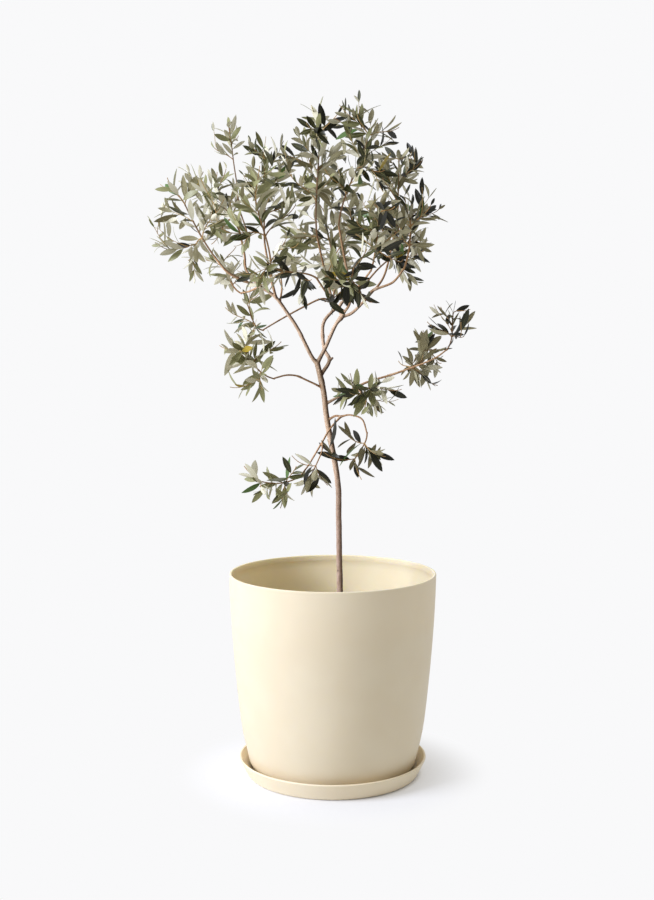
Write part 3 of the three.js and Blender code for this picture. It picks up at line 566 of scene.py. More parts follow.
# %% Limbs
# The limb that bears it, the share along that one, its radius at both ends, and its reaches
LIMBS = {
    "trunk": (
        None, 0, (5.3, 5.0),
        [(180, 158, 89), (75, 223, 87.6), (112, 189, 80), (51, 171, 83), (53, 170, 77)],
    ),
    "left_bough": (
        "trunk", 1, (3.5, 2.7), [(18, 200, 50), (55, 201, 62), (37, 199, 55), (33, 203, 51), (34, 192, 34)],
    ),
    "left_wing_bough": ("left_bough", 1, (2.5, 1.9), [(32, 195, 18), (33, 196, 28), (35, 190, 50)]),
    "left_upper_bough": ("left_bough", 1, (2.4, 1.8), [(36, 166, 48), (32, 119, 73), (40, 155, 77)]),
    "left_tip_bough": ("left_upper_bough", 0.72, (1.6, 1.2), [(38, 78, 52), (48, 158, 72), (52, 176, 84)]),
    "left_lower_bough": ("left_bough", 1, (2.0, 1.5), [(24, 145, -20), (21, 145, -8)]),
    "left_back_bough": ("left_bough", 0.8, (2.3, 1.8), [(61, 103, 36), (60, 103, 47), (31, 103, 49)]),
    "left_front_bough": ("left_bough", 0.8, (2.2, 1.7), [(44, 259, 46), (45, 265, 58)]),
    "left_inner_bough": ("left_bough", 0.74, (1.8, 1.5), [(26, 75, 62), (26, 100, 64)]),
    "right_bough": ("trunk", 1, (3.5, 3.3), [(33, 25, 60), (43, 16, 65), (21, 9, 53)]),
    "right_outer_bough": (
        "right_bough", 1, (2.8, 1.9),
        [(21, 348, 21), (37, 347, 44), (18, 349, 52), (38, 350, 21), (32, 349, 50)],
    ),
    "right_upper_bough": ("right_outer_bough", 0.4, (2.1, 1.7), [(52, 36, 45), (56, 46, 67), (41, 24, 76)]),
    "centre_bough": (
        "right_bough", 1, (2.8, 1.8),
        [(22, 121, 72), (32, 11, 47), (26, 161, 77), (42, 206, 77), (55, 213, 78)],
    ),
    "right_front_bough": ("centre_bough", 0.29, (2.1, 1.7), [(53, 293, 21), (47, 290, 24)]),
    "front_bough": ("right_bough", 1, (2.7, 1.9), [(35, 277, 13), (43, 282, 18), (38, 269, 32)]),
    "front_left_bough": ("front_bough", 0.3, (2.0, 1.7), [(51, 236, 27), (52, 233, 40)]),
    "rear_bough": (
        "trunk", 0.95, (3.5, 3.0), [(36, 44, 50), (28, 116, 44), (33, 105, 64), (25, 68, 70), (29, 24, 47)],
    ),
    "upright_bough": ("rear_bough", 1, (2.4, 1.8), [(35, 208, 76), (50, 225, 70), (57, 243, 63)]),
    "back_bough": ("rear_bough", 1, (2.4, 1.8), [(34, 95, 26), (49, 80, 43)]),
    "back_right_bough": ("back_bough", 0.44, (2.0, 1.7), [(52, 28, 18), (62, 30, 43)]),
    "crossing_branch": (
        "back_bough", 0.44, (1.9, 1.4), [(24, 205, 10), (37, 194, -24), (48, 196, -28), (42, 196, -30)],
    ),
    "left_side_branch": (
        "trunk", 0.9, (1.9, 1.5),
        [(15, 198, 29), (22, 192, 25), (18, 193, 23), (19.5, 192, 3), (23.5, 196, -14)],
    ),
    "right_side_branch": (
        "trunk", 0.84, (2.6, 1.8), [(36.5, 2, 28), (29, 4, 28), (25, 10, 24), (50, 7, 16)],
    ),
    "right_wing_branch": (
        "right_side_branch", 0.93, (1.8, 1.4), [(54, 345, 19.5), (34, 350, 23), (27, 356, 36)],
    ),
    "right_inner_branch": ("right_side_branch", 0.45, (1.6, 1.3), [(19, 303, -26), (10, 303, -19)]),
    "low_branch": ("trunk", 0.775, (2.2, 1.9), [(18, 338, 30), (12, 330, -3)]),
    "low_left_branch": (
        "low_branch", 1, (1.8, 1.4),
        [(20, 212, -41), (18, 210, -48), (21, 211, -56), (28, 203, -57), (24, 198, -57), (23, 196, -51)],
    ),
    "low_front_branch": ("low_left_branch", 0.44, (1.4, 1.2), [(19, 266, -50), (14, 251, -43)]),
    "low_right_branch": ("low_branch", 1, (1.7, 1.4), [(18, 340, 10), (24, 339, -18), (27, 335, -69)]),
}

# %% Their curves
FINE_PER_REACH = 6
UP = np.array([0.0, 0.0, 1.0])


def norm(v):
    return math.sqrt(float(v @ v))


def unit(v):
    return v / norm(v)


def cross(a, b):
    return np.array([a[1] * b[2] - a[2] * b[1], a[2] * b[0] - a[0] * b[2], a[0] * b[1] - a[1] * b[0]])


def heading(bearing, climb):
    turn, rise = math.radians(bearing), math.radians(climb)
    return np.array([math.cos(turn) * math.cos(rise), math.sin(turn) * math.cos(rise), math.sin(rise)])


def square(way):
    """A level direction square to another one."""
    side = cross(way, UP)
    return unit(side) if side @ side > 1e-4 else np.array([1.0, 0.0, 0.0])


def side_way(way, turn):
    """A direction square to another one, turned round it."""
    level = square(way)
    return level * math.cos(turn) + cross(way, level) * math.sin(turn)


def smooth_point(points, share):
    """A point of the smooth line through the bends, at a share of the way along them."""
    last = len(points) - 1
    i = min(int(share * last), last - 1)
    f = share * last - i
    b, c = points[i], points[i + 1]
    a = points[i - 1] if i > 0 else 2 * b - c
    d = points[i + 2] if i + 2 <= last else 2 * c - b
    return 0.5 * (2 * b + (c - a) * f + (2 * a - 5 * b + 4 * c - d) * f**2 + (3 * b - a - 3 * c + d) * f**3)


def point_along(path, share):
    steps = np.linalg.norm(np.diff(path, axis=0), axis=1)
    left = share * steps.sum()
    for i, step in enumerate(steps):
        if left <= step or i == len(steps) - 1:
            return mixed(path[i], path[i + 1], left / step)
        left -= step


limbs = {}
for name, (bearer, share, girth, reaches) in LIMBS.items():
    start = point_along(limbs[bearer]["path"], share) if bearer else (*TRUNK_FOOT, SOIL_LEVEL)
    bends = [np.array(start)]
    for length, bearing, climb in reaches:
        bends.append(bends[-1] + heading(bearing, climb) * length)
    count = FINE_PER_REACH * len(reaches)
    path = np.array([smooth_point(bends, i / count) for i in range(count + 1)])
    limbs[name] = dict(bearer=bearer, girth=girth, bends=bends, path=path)
print("limbs:", len(limbs))

# %% A tube along a line
def tube(path, radii, sides):
    """Rings of points round a line, closed by a point at each end, and the faces between them."""
    path = np.asarray(path, float)
    ways = np.vstack([path[1] - path[0], path[2:] - path[:-2], path[-1] - path[-2]])
    ways /= np.linalg.norm(ways, axis=1)[:, None]
    side = square(ways[0])
    angles = np.linspace(0, 2 * math.pi, sides, endpoint=False)
    rings = []
    for point, way, radius in zip(path, ways, radii):
        side = unit(side - way * float(side @ way))
        across = cross(way, side)
        rings.append(point + radius * (np.outer(np.cos(angles), side) + np.outer(np.sin(angles), across)))
    quads, fans = ring_faces(len(path), sides)
    return np.vstack(rings + [path[:1], path[-1:]]), quads + fans


# %% Melt the limbs into one skin
# A Remesh modifier measures the joined tubes on a fine grid and draws one skin round them all.
SKIN_GRID = 0.95
RING_STEP = 3.0
BARK_SIDES = 14
ROOT_FLARE = 3.4
FLARE_LENGTH = 26.0
COLLAR = 0.42
COLLAR_LENGTH = 5.0
BURIED = 9.0
SKIN_GAIN = 0.12
ROOT_SINK = 0.8
LINE_POINTS = 60
STUB_TAPER = np.array([1.4, 1.15, 1, 0.85, 0.5])
SOFTENING, SOFT_ROUNDS = 0.5, 3

# Knots: the limb, the share along it, how far they stand out and over what length
KNOTS = [
    ("right_bough", 0.96, 1.5, 4.5), ("right_outer_bough", 0.56, 0.9, 3.5), ("trunk", 0.93, 0.7, 7.0),
    ("left_bough", 0.34, 0.5, 4.0), ("centre_bough", 0.14, 0.7, 4.0), ("rear_bough", 0.62, 0.6, 4.0),
    ("left_side_branch", 0.5, 0.5, 3.0), ("right_side_branch", 0.5, 0.7, 3.5),
]

# Stubs of pruned twigs: the limb, the share along it, bearing, climb, length and radius
STUBS = [
    ("rear_bough", 0.24, 8, 38, 9.0, 2.7),
    ("trunk", 0.66, 330, 30, 6.2, 1.3),
    ("left_bough", 0.62, 60, 40, 5.0, 1.2),
    ("right_bough", 0.55, 200, 30, 5.4, 1.3),
    ("right_outer_bough", 0.5, 250, -30, 4.2, 1.0),
]


def even_path(path, step):
    """A path again, with its points a step apart."""
    lengths = np.concatenate([[0], np.cumsum(np.linalg.norm(np.diff(path, axis=0), axis=1))])
    marks = np.linspace(0, lengths[-1], max(3, round(lengths[-1] / step) + 1))
    return np.stack([np.interp(marks, lengths, path[:, i]) for i in range(3)], 1), marks


skin_pile = Pile()
for name, limb in limbs.items():
    fine = np.array([smooth_point(limb["bends"], t) for t in np.linspace(0, 1, LINE_POINTS)])
    line, marks = even_path(fine, RING_STEP)
    radii = mixed(*limb["girth"], marks / marks[-1]) + SKIN_GAIN
    if limb["bearer"]:
        radii = radii * (1 + COLLAR * np.exp(-marks / COLLAR_LENGTH))
        root = line[0] - unit(line[1] - line[0]) * limb["girth"][0] * ROOT_SINK
    else:
        radii = radii + ROOT_FLARE * np.exp(-marks / FLARE_LENGTH)
        root = line[0] - UP * BURIED
    for knotted, share, swell, span in KNOTS:
        if knotted == name:
            radii = radii + swell * np.exp(-(((marks - share * marks[-1]) / span) ** 2))
    limb["line"] = np.vstack([root, line])
    limb["radii"] = np.concatenate([radii[:1], radii])
    skin_pile.add(*tube(limb["line"], limb["radii"], BARK_SIDES), 0)
for name, share, bearing, climb, length, radius in STUBS:
    root = point_along(limbs[name]["path"], share)
    line = root + np.outer(np.linspace(0, 1, len(STUB_TAPER)), heading(bearing, climb) * length)
    skin_pile.add(*tube(line, radius * STUB_TAPER, BARK_SIDES), 0)

tubes = skin_pile.mesh("limb_tubes", 1)
holder = bpy.data.objects.new("limb_tubes", tubes)
bpy.context.collection.objects.link(holder)
melt = holder.modifiers.new("melt", "REMESH")
melt.mode = "VOXEL"
melt.voxel_size = SKIN_GRID
soften = holder.modifiers.new("soften", "SMOOTH")
soften.factor = SOFTENING
soften.iterations = SOFT_ROUNDS
skin = bpy.data.meshes.new_from_object(holder.evaluated_get(bpy.context.evaluated_depsgraph_get()))
bpy.data.objects.remove(holder)
bpy.data.meshes.remove(tubes)
print("skin of the limbs:", len(skin.vertices), "points")

# %% [markdown]
# ## Bark
# Young olive bark is smooth and grey-brown on the trunk, with long shallow ripples, small raised
# pores and scars where twigs have been, and it is warmer and paler on the thin boughs. A bump map
# would only shade that. Here every point of the skin is pushed out or in along its own normal, so
# the relief is real. Ripples follow the limb, so each point first looks up its nearest place on the
# limbs' lines: how far along it lies, how far round, and how thick the limb is there. Light and
# shade are also painted into the bark: it is painted paler on its left, the lamp's side, and darker
# on its right, as painted shade, as the photograph shows it, the more so the higher it is.

# %% Where each point of the skin lies
RELIEF_STEP = 1.5
LIMB_OFFSET = 1000


def of_skin(name):
    """One vector for every point of the skin."""
    values = np.empty(len(skin.vertices) * 3, np.float32)
    skin.vertices.foreach_get(name, values)
    return values.reshape(-1, 3).astype(float)


spots = []
for order, limb in enumerate(limbs.values()):
    line, marks = even_path(limb["line"], RELIEF_STEP)
    old_marks = np.linspace(0, 1, len(limb["radii"]))
    radii = np.interp(np.linspace(0, 1, len(line)), old_marks, limb["radii"])
    way = np.gradient(line, axis=0)
    way /= np.linalg.norm(way, axis=1)[:, None]
    spots += zip(line, way, radii, marks + LIMB_OFFSET * order)
finder = kdtree.KDTree(len(spots))
for i, spot in enumerate(spots):
    finder.insert(spot[0], i)
finder.balance()

points = of_skin("co")
normals = of_skin("normal")
nearest = np.array([finder.find(p)[1] for p in points])

# %% Ripples, pores and scars
RIPPLE_HEIGHT, RIPPLE_ROUND, RIPPLE_ALONG = 0.052, 1.4, 0.05
WRINKLE_HEIGHT, WRINKLE_ROUND, WRINKLE_ALONG = 0.034, 3.4, 0.21
WRINKLE_START = 7
PORE_HEIGHT, PORE_FROM = 0.44, 0.25
PORE_ROUND, PORE_ALONG = 0.8, 0.45
GRAIN_HEIGHT, GRAIN_SCALE = 0.07, 1.1
AGE_FROM, AGE_SPAN = 1.6, 3.2
PAINTED_LIGHT_WAY = np.array([-1.0, -0.3, 0.1])
PAINTED_LIGHT_SPAN = (1.15, 0.75)
PAINTED_LIGHT_MIDDLE = (0.5, 0.42)
HIGH_FROM, HIGH_TO = 450.0, 640.0
DEEP_SCAR = 0.9
PIT_WIDTH = 0.42
PIT_DEPTH = 1.25

# Scars of lost twigs: the limb, the share along it, the bearing it faces, its width and height
SCARS = [
    ("trunk", 0.185, 235, 3.6, 0.9), ("trunk", 0.31, 300, 2.6, 0.5), ("trunk", 0.12, 40, 2.4, 0.5),
    ("trunk", 0.43, 250, 2.8, 0.6), ("trunk", 0.52, 120, 2.6, 0.6), ("trunk", 0.585, 290, 2.4, 0.5),
    ("trunk", 0.72, 215, 2.8, 0.7), ("trunk", 0.93, 265, 2.6, 0.5), ("left_bough", 0.3, 260, 2.2, 0.5),
    ("left_bough", 0.5, 110, 2.0, 0.4), ("right_bough", 0.4, 300, 2.2, 0.5),
    ("rear_bough", 0.6, 20, 2.0, 0.5), ("right_side_branch", 0.35, 250, 1.7, 0.35),
]

heights = np.zeros(len(points))
age = np.zeros(len(points))
wound = np.zeros(len(points))
for i, (point, near_spot) in enumerate(zip(points, nearest)):
    centre, way, radius, mark = spots[near_spot]
    out = point - centre
    out = out - way * (out @ way)
    out = out / max(1e-6, norm(out))
    ripple = noise.noise(Vector(out * RIPPLE_ROUND) + Vector((0, 0, mark * RIPPLE_ALONG)))
    wrinkle = noise.noise(Vector(out * WRINKLE_ROUND) + Vector((WRINKLE_START, 0, mark * WRINKLE_ALONG)))
    pore = noise.noise(Vector((point[0] * PORE_ROUND, point[1] * PORE_ROUND, point[2] * PORE_ALONG)))
    grain = noise.noise(Vector(point * GRAIN_SCALE))
    heights[i] = radius * (RIPPLE_HEIGHT * ripple + WRINKLE_HEIGHT * wrinkle)
    heights[i] += PORE_HEIGHT * max(0.0, pore - PORE_FROM) + GRAIN_HEIGHT * grain
    age[i] = min(1.0, max(0.0, (radius - AGE_FROM) / AGE_SPAN))
for name, share, bearing, width, height in SCARS:
    limb = limbs[name]
    centre = point_along(limb["path"], share)
    girth = mixed(*limb["girth"], share)
    away = np.linalg.norm(points - (centre + heading(bearing, 0) * girth), axis=1)
    pit = np.exp(-((away / (PIT_WIDTH * width)) ** 2))
    heights += height * (np.exp(-((away / width) ** 2)) - PIT_DEPTH * pit)
    wound = np.maximum(wound, pit * (height / DEEP_SCAR) ** 3)
points += normals * heights[:, None]
skin.vertices.foreach_set("co", (points * MM).astype(np.float32).ravel())
# Painted light and shade: how far each point faces the lamp's side, more sharply the higher it is.
high = np.interp(points[:, 2], (HIGH_FROM, HIGH_TO), (0, 1))
lit = normals @ unit(PAINTED_LIGHT_WAY) / mixed(*PAINTED_LIGHT_SPAN, high)
painted_lit = np.clip(lit + mixed(*PAINTED_LIGHT_MIDDLE, high), 0, 1)
for attribute, values in (("age", age), ("high", high), ("wound", wound), ("painted_lit", painted_lit)):
    skin.attributes.new(attribute, "FLOAT", "POINT").data.foreach_set("value", values.astype(np.float32))
skin.update()
print("bark relief from", round(heights.min(), 2), "to", round(heights.max(), 2), "mm")

# %% Bark finish
# Each bark is a painted lit pair and then a painted shaded pair; high up they lie further apart.
LOW_BARK = (paint("c6aa97"), paint("a88b76")), (paint("735c4e"), paint("534036"))
HIGH_BARK = (paint("e8ccb0"), paint("c8a88a")), (paint("543826"), paint("362316"))
YOUNG_BARK = (paint("cfaa82"), paint("a67c56")), (paint("6c4a2f"), paint("483020"))
PORE_COLOR = paint("d8b896")
WOUND_COLOR = paint("2c1f17")

bark = Finish("bark", Roughness=0.8, Specular_IOR_Level=0.25)
old, up_high, painted_lit_side, wounded = (
    bark.node("ShaderNodeAttribute", {"attribute_name": name}, output="Fac")
    for name in ("age", "high", "painted_lit", "wound")
)
streak = bark.between(bark.grain(5, (1, 1, 0.4), detail=5.0), 0.3, 0.72)
low_tone, high_tone, young_tone = (
    bark.mix(painted_lit_side, bark.mix(streak, *painted_shaded), bark.mix(streak, *painted_lit))
    for painted_lit, painted_shaded in (LOW_BARK, HIGH_BARK, YOUNG_BARK)
)
tone = bark.mix(bark.between(old, 0.1, 0.5), young_tone, bark.mix(up_high, low_tone, high_tone))
pores = bark.between(bark.grain(2.2, (0.7, 0.7, 1.3), detail=1.0), 0.64, 0.72)
spotted = bark.mix(0.6 * pores, tone, PORE_COLOR)
bark.feed("Base Color", bark.mix(wounded, spotted, WOUND_COLOR))
bark.feed("Roughness", 0.7 + 0.2 * bark.grain(3))
bark.bump(bark.grain(0.9, (1, 1, 0.4), detail=5.0), 0.25, 0.7)
dressed("trunk_and_boughs", skin, [bark], list(limbs))

# %% [markdown]
# ## How the crown grows
# Nobody places seventeen hundred leaves by hand. Each mass of foliage has an ellipsoid of space of
# its own at the tip of a bough. A stem leads into it, shoots leave the stem for points spread evenly
# over the ellipsoid, each from the bud that suits it best, and side shoots leave those. A twig that
# would come out of its space or touch a limb isn't grown. All of it hangs on seeded dice, so the
# tree is the same on every run, and the stems and shoots are those of the solid model. The centres,
# half sizes, numbers of shoots and seeds in the table weren't chosen by hand either: a search tried
# many, and kept those whose crown covers the background most like the one in the photograph.

# %% Masses of foliage
# The bough, the centre and half sizes of the space, the number of shoots, leaf size and the seed
MASSES = {
    "left_wing": ("left_wing_bough", (-245, -54, 1004), (81, 63, 110), 8, 1.0, 28),
    "left_upper": ("left_upper_bough", (-199, -3, 1037), (43, 75, 89), 8, 1.0, 170),
    "left_tip": ("left_tip_bough", (-184, 12, 1160), (40, 36, 58), 3, 1.0, 50),
    "left_lower": ("left_lower_bough", (-190, 15, 927), (60, 74, 53), 5, 1.0, 293),
    "left_front": ("left_front_bough", (-126, -98, 1005), (78, 72, 106), 5, 1.0, 10),
    "left_back": ("left_back_bough", (-124, 114, 1100), (73, 69, 96), 6, 1.0, 222),
    "left_inner": ("left_inner_bough", (-95, 20, 933), (52, 62, 51), 5, 0.95, 132),
    "centre_top": ("upright_bough", (-25, 18, 1126), (78, 85, 118), 8, 1.0, 169),
    "right_top": ("centre_bough", (52, -40, 1119), (86, 61, 116), 7, 1.0, 90),
    "centre_front": ("front_left_bough", (-81, -134, 918), (93, 91, 79), 5, 1.0, 214),
    "right_outer": ("right_outer_bough", (139, 13, 1011), (72, 57, 98), 7, 1.0, 361),
    "right_upper": ("right_upper_bough", (122, 71, 1109), (51, 76, 69), 5, 1.0, 51),
    "front_low": ("front_bough", (31, -175, 905), (67, 70, 82), 5, 1.05, 188),
    "right_front": ("right_front_bough", (76, -103, 992), (67, 87, 71), 6, 1.0, 387),
    "back": ("back_bough", (-11, 215, 1014), (97, 93, 135), 8, 1.0, 306),
    "back_right": ("back_right_bough", (134, 148, 973), (58, 66, 92), 8, 1.0, 169),
    "left_cross": ("crossing_branch", (-148, 25, 850), (54, 43, 57), 3, 1.0, 335),
    "left_middle": ("left_side_branch", (-140, -45, 762), (74, 62, 80), 7, 1.05, 397),
    "right_middle": ("right_side_branch", (169, 59, 767), (57, 65, 63), 7, 1.1, 197),
    "right_wing": ("right_wing_branch", (213, -24, 832), (50, 43, 48), 7, 1.0, 289),
    "right_inner": ("right_inner_branch", (62, -47, 709), (74, 67, 50), 7, 1.15, 153),
    "low_left": ("low_left_branch", (-105, -84, 553), (70, 60, 53), 4, 1.1, 360),
    "low_front": ("low_front_branch", (-39, -58, 563), (53, 46, 54), 4, 1.2, 259),
    "low_right": ("low_right_branch", (51, -33, 606), (84, 60, 60), 5, 1.2, 215),
}
names = list(MASSES)
centres = np.array([MASSES[name][1] for name in names], float)
halves = np.array([MASSES[name][2] for name in names], float)

# %% Dice and curves
CURVE_HANDLE = 0.35
PARENT_PULL = 0.5
TIP_PULL = 0.8


def dice(seed):
    """Seeded numbers from 0 to 1: the same series for the same seed, as in the solid model."""
    mask = 0xFFFFFFFF
    state = seed & mask

    def roll():
        nonlocal state
        state = (state + 0x6D2B79F5) & mask
        t = ((state ^ (state >> 15)) * (state | 1)) & mask
        t ^= (t + (((t ^ (t >> 7)) * (t | 61)) & mask)) & mask
        return (t ^ (t >> 14)) / 2**32

    return roll


def curve_point(curve, t):
    a, b, c, d = curve
    s = 1 - t
    return a * s**3 + b * 3 * s * s * t + c * 3 * s * t * t + d * t**3


def curve_heading(curve, t):
    a, b, c, d = curve
    s = 1 - t
    return unit((b - a) * s * s + (c - b) * 2 * s * t + (d - c) * t * t)


def make_twig(start, leaving, tip, lift, radius, leafy_from, kind):
    """A twig leaves its parent along the parent's own direction and turns up towards its tip."""
    way = tip - start
    length = norm(way)
    way = way / length
    first = unit(leaving * PARENT_PULL + way * TIP_PULL)
    last = unit(way + UP * lift)
    handle = length * CURVE_HANDLE
    curve = [start, start + first * handle, tip - last * handle, tip]
    return dict(curve=curve, length=length, radius=radius, leafy_from=leafy_from, kind=kind)


# %% Stems and what twigs keep clear of
SEAT_GAP = 0.3
STEM_SHARES = (0, 0.35, 0.65, 1)
STEM_REACH = 0.35
STEM_PULL = 1.6
STEM_LIFT = 0.3
STEM_LEAFY_FROM = 0.45
STEM_RADIUS = 1.8
STEM_ROOT = 0.98
STEM_TAPER, THICKEST_STEM_TIP = 0.8, 1.35


def make_stem(i):
    bough = limbs[MASSES[names[i]][0]]
    path = bough["path"]
    leaving = unit(path[-1] - path[-2])
    start = path[-1] + leaving * SEAT_GAP
    axis = unit(centres[i] - start)
    tip = centres[i] + halves[i] * axis * STEM_REACH
    girth = bough["girth"][1]
    radius = (girth * STEM_ROOT, min(girth * STEM_TAPER, THICKEST_STEM_TIP))
    return make_twig(start, leaving * STEM_PULL, tip, STEM_LIFT, radius, STEM_LEAFY_FROM, "stem")


# Straight pieces of limbs, and of stems with the number of the mass that owns them
stems = [make_stem(i) for i in range(len(names))]
pieces = []
for limb in limbs.values():
    path = limb["path"]
    for k in range(len(path) - 1):
        pieces.append((path[k], path[k + 1] - path[k], mixed(*limb["girth"], k / (len(path) - 1)), -1))
for i, stem in enumerate(stems):
    bends = [curve_point(stem["curve"], t) for t in STEM_SHARES]
    pieces += [(a, b - a, STEM_RADIUS, i) for a, b in zip(bends, bends[1:])]
barrier = {k: np.array(v) for k, v in zip(("from", "way", "radius", "owner"), zip(*pieces))}


def distances(points, starts, ways):
    """From each point to each straight piece."""
    along = ((points[:, None] - starts) * ways).sum(2) / (ways * ways).sum(1)
    foot = starts + ways * np.clip(along, 0, 1)[:, :, None]
    return np.linalg.norm(points[:, None] - foot, axis=2)


def in_own_space(i, points, margin, inset):
    """Inside this mass's ellipsoid, and further inside it than inside any other."""
    outwardness = np.sqrt((((points[:, None] - centres) / halves) ** 2).sum(2))
    own = outwardness[:, i]
    others = np.delete(outwardness, i, 1).min(1)
    return bool(((own <= inset) & (own + margin <= others)).all())


def clear_of_limbs(i, points, clearances):
    keep = barrier["owner"] != i
    gaps = distances(points, barrier["from"][keep], barrier["way"][keep]) - barrier["radius"][keep]
    return bool((gaps.min(1) > clearances).all())


print("straight pieces that twigs keep clear of:", len(barrier["owner"]))

# %% Shoots and side shoots
SHOOT_SHARES = (0, 1 / 3, 2 / 3, 1)
SHORTEST_SHOOT = 25
SHOOT_LIFT = (0.25, 0.85)
SHOOT_TIP = 0.62
SHOOT_TAPER = 0.78
TURN_COST = 0.9
TIP_SPREAD = 1.45
TIP_STRAY = 0.2
TIP_TURN = 0.7
TIP_DEPTH = (0.78, 0.96)
TWIG_INSET = 0.97
TWIG_MARGIN = 0.05
TWIG_CLEARANCE = 3.8
TWIG_TEST_STEP = 3
TWIG_TEST_FROM = 6
LEAFY_STRETCH = 110
LEAST_LEAFY_FROM = 0.12
GOLDEN_ANGLE = math.pi * (3 - math.sqrt(5))


def twig_fits(i, twig, margin=TWIG_MARGIN, inset=TWIG_INSET, clearance=TWIG_CLEARANCE):
    count = max(4, math.ceil(twig["length"] / TWIG_TEST_STEP))
    shares = [k / count for k in range(1, count + 1) if k / count * twig["length"] > TWIG_TEST_FROM]
    points = np.array([curve_point(twig["curve"], t) for t in shares])
    return in_own_space(i, points, margin, inset) and clear_of_limbs(i, points, clearance)


def buds_of(twig, shares):
    ends = twig["radius"]
    return [
        (curve_point(twig["curve"], t), curve_heading(twig["curve"], t), mixed(*ends, t)) for t in shares
    ]


def grow_shoots(i):
    """Shoots reach for points spread evenly over the front of the ellipsoid, nearest first."""
    _, _, _, shoots, _, seed = MASSES[names[i]]
    roll = dice(seed)
    stem = stems[i]
    start = stem["curve"][0]
    axis = unit(centres[i] - start)
    spin = roll() * 2 * math.pi
    tips = []
    for k in range(shoots):
        ahead = 1 - (k + 0.5) / shoots * TIP_SPREAD + (roll() - 0.5) * TIP_STRAY
        ahead = max(-1.0, min(1.0, ahead))
        turn = k * GOLDEN_ANGLE + spin + (roll() - 0.5) * TIP_TURN
        way = axis * ahead + side_way(axis, turn) * math.sqrt(1 - ahead * ahead)
        tips.append(centres[i] + halves[i] * way * mixed(*TIP_DEPTH, roll()))
    tips.sort(key=lambda tip: math.dist(tip, start))
    twigs = [stem]
    buds = buds_of(stem, STEM_SHARES[1:])
    for tip in tips:
        lift = mixed(*SHOOT_LIFT, roll())

        def cost(bud):
            way = tip - bud[0]
            reach = norm(way)
            return reach + TURN_COST * (reach - float(bud[1] @ way))

        point, leaving, thick = min(buds, key=cost)
        length = math.dist(point, tip)
        if length < SHORTEST_SHOOT:
            continue
        radius = (max(thick * SHOOT_TAPER, SHOOT_TIP), SHOOT_TIP)
        leafy_from = max(LEAST_LEAFY_FROM, 1 - LEAFY_STRETCH / length)
        twig = make_twig(point, leaving, tip, lift, radius, leafy_from, "shoot")
        if twig_fits(i, twig):
            twigs.append(twig)
            buds += buds_of(twig, SHOOT_SHARES[1:-1])
    return twigs


SIDE_FROM, SIDE_TO = 0.2, 0.86
SIDE_SPACING = (18, 28)
SIDE_LENGTH = (40, 80)
SIDE_SHORTER = 0.25
SIDE_LIFT = (0.2, 0.7)
SIDE_TURN = 2.2
SIDE_STRAY = 0.6
SIDE_KEPT = 0.88
SIDE_RADIUS = (0.72, 0.42)
SIDE_TAPER = 0.85
SIDE_LEAFY_FROM = 0.25
SIDE_WAY = (0.75, 0.8, 0.25)
SIDE_FIT = (0.01, 1.0, 2.0)
SIDE_SEEDS = (7919, 17)


def grow_side_shoots(i, twigs):
    """Short side shoots, finer than the solid model has, that leave a shoot by turns all round it."""
    roll = dice(MASSES[names[i]][5] * SIDE_SEEDS[0] + SIDE_SEEDS[1])
    extra = []
    for twig in twigs:
        t = max(twig["leafy_from"], SIDE_FROM)
        turn_from = roll() * 2 * math.pi
        k = 0
        while t < SIDE_TO:
            point = curve_point(twig["curve"], t)
            way = curve_heading(twig["curve"], t)
            side = side_way(way, turn_from + k * SIDE_TURN + roll() * SIDE_STRAY)
            length = mixed(*SIDE_LENGTH, roll()) * (1 - SIDE_SHORTER * t)
            tip = point + unit(way * SIDE_WAY[0] + side * SIDE_WAY[1] + UP * SIDE_WAY[2]) * length
            lift = mixed(*SIDE_LIFT, roll())
            kept = roll() < SIDE_KEPT
            thick = min(SIDE_RADIUS[0], mixed(*twig["radius"], t) * SIDE_TAPER)
            made = make_twig(point, way, tip, lift, (thick, SIDE_RADIUS[1]), SIDE_LEAFY_FROM, "side")
            if kept and twig_fits(i, made, *SIDE_FIT):
                extra.append(made)
            t += mixed(*SIDE_SPACING, roll()) / twig["length"]
            k += 1
    return extra


# %% Leaves in pairs
# Olive leaves stand in opposite pairs, and each pair is turned a quarter from the one below it.
LEAF_LENGTH = 42.0
LEAF_HALF_WIDTH = 0.15
LEAF_HALF_THICK = 0.0135
LEAF_SEEDS = (104729, 5)
LEAF_PITCH = 12.0
PITCH_STRAY = 0.2
LAST_PITCH = 0.6
LAST_PAIR_AT = 0.985
PAIR_STRAY = 1.0
LEAF_OPENING = 42
LAST_OPENING = 22
OPENING_STRAY = 46
LEAF_SIZES = (0.72, 1.22)
LAST_LEAF_SIZE = 0.72
LEAF_DWINDLE = 0.12
LEAF_TWIST = 2.0
LEAF_DROOP = (-0.25, 0.42)
LEAF_MISSING = 0.05
LEAF_SHRINKS = (1, 0.8, 0.64)
LEAF_MARGIN = 0.016
LEAF_CLEARANCE = 1.2
LEAF_OFF_TWIG = 1.3
LEAF_OFF_LEAF = 3.4
FREE_SHARES = np.array([0.3, 0.5, 0.7, 0.85, 1.0])
SPINE_SHARES = np.array([0.2, 0.35, 0.5, 0.65, 0.8, 1.0])
SPINE_WIDTHS = np.array([0.62, 0.9, 1.0, 0.9, 0.62, 0.0])


def leaf_fits(i, root, along, across, face, length):
    middle = root + along * length / 2
    wide = across * length * LEAF_HALF_WIDTH
    thick = face * length * LEAF_HALF_THICK
    edge = np.array([root + along * length, middle + wide, middle - wide, middle + thick, middle - thick])
    spine = root + np.outer(SPINE_SHARES * length, along)
    clearances = SPINE_WIDTHS * length * LEAF_HALF_WIDTH + LEAF_CLEARANCE
    return in_own_space(i, edge, LEAF_MARGIN, 1) and clear_of_limbs(i, spine, clearances)


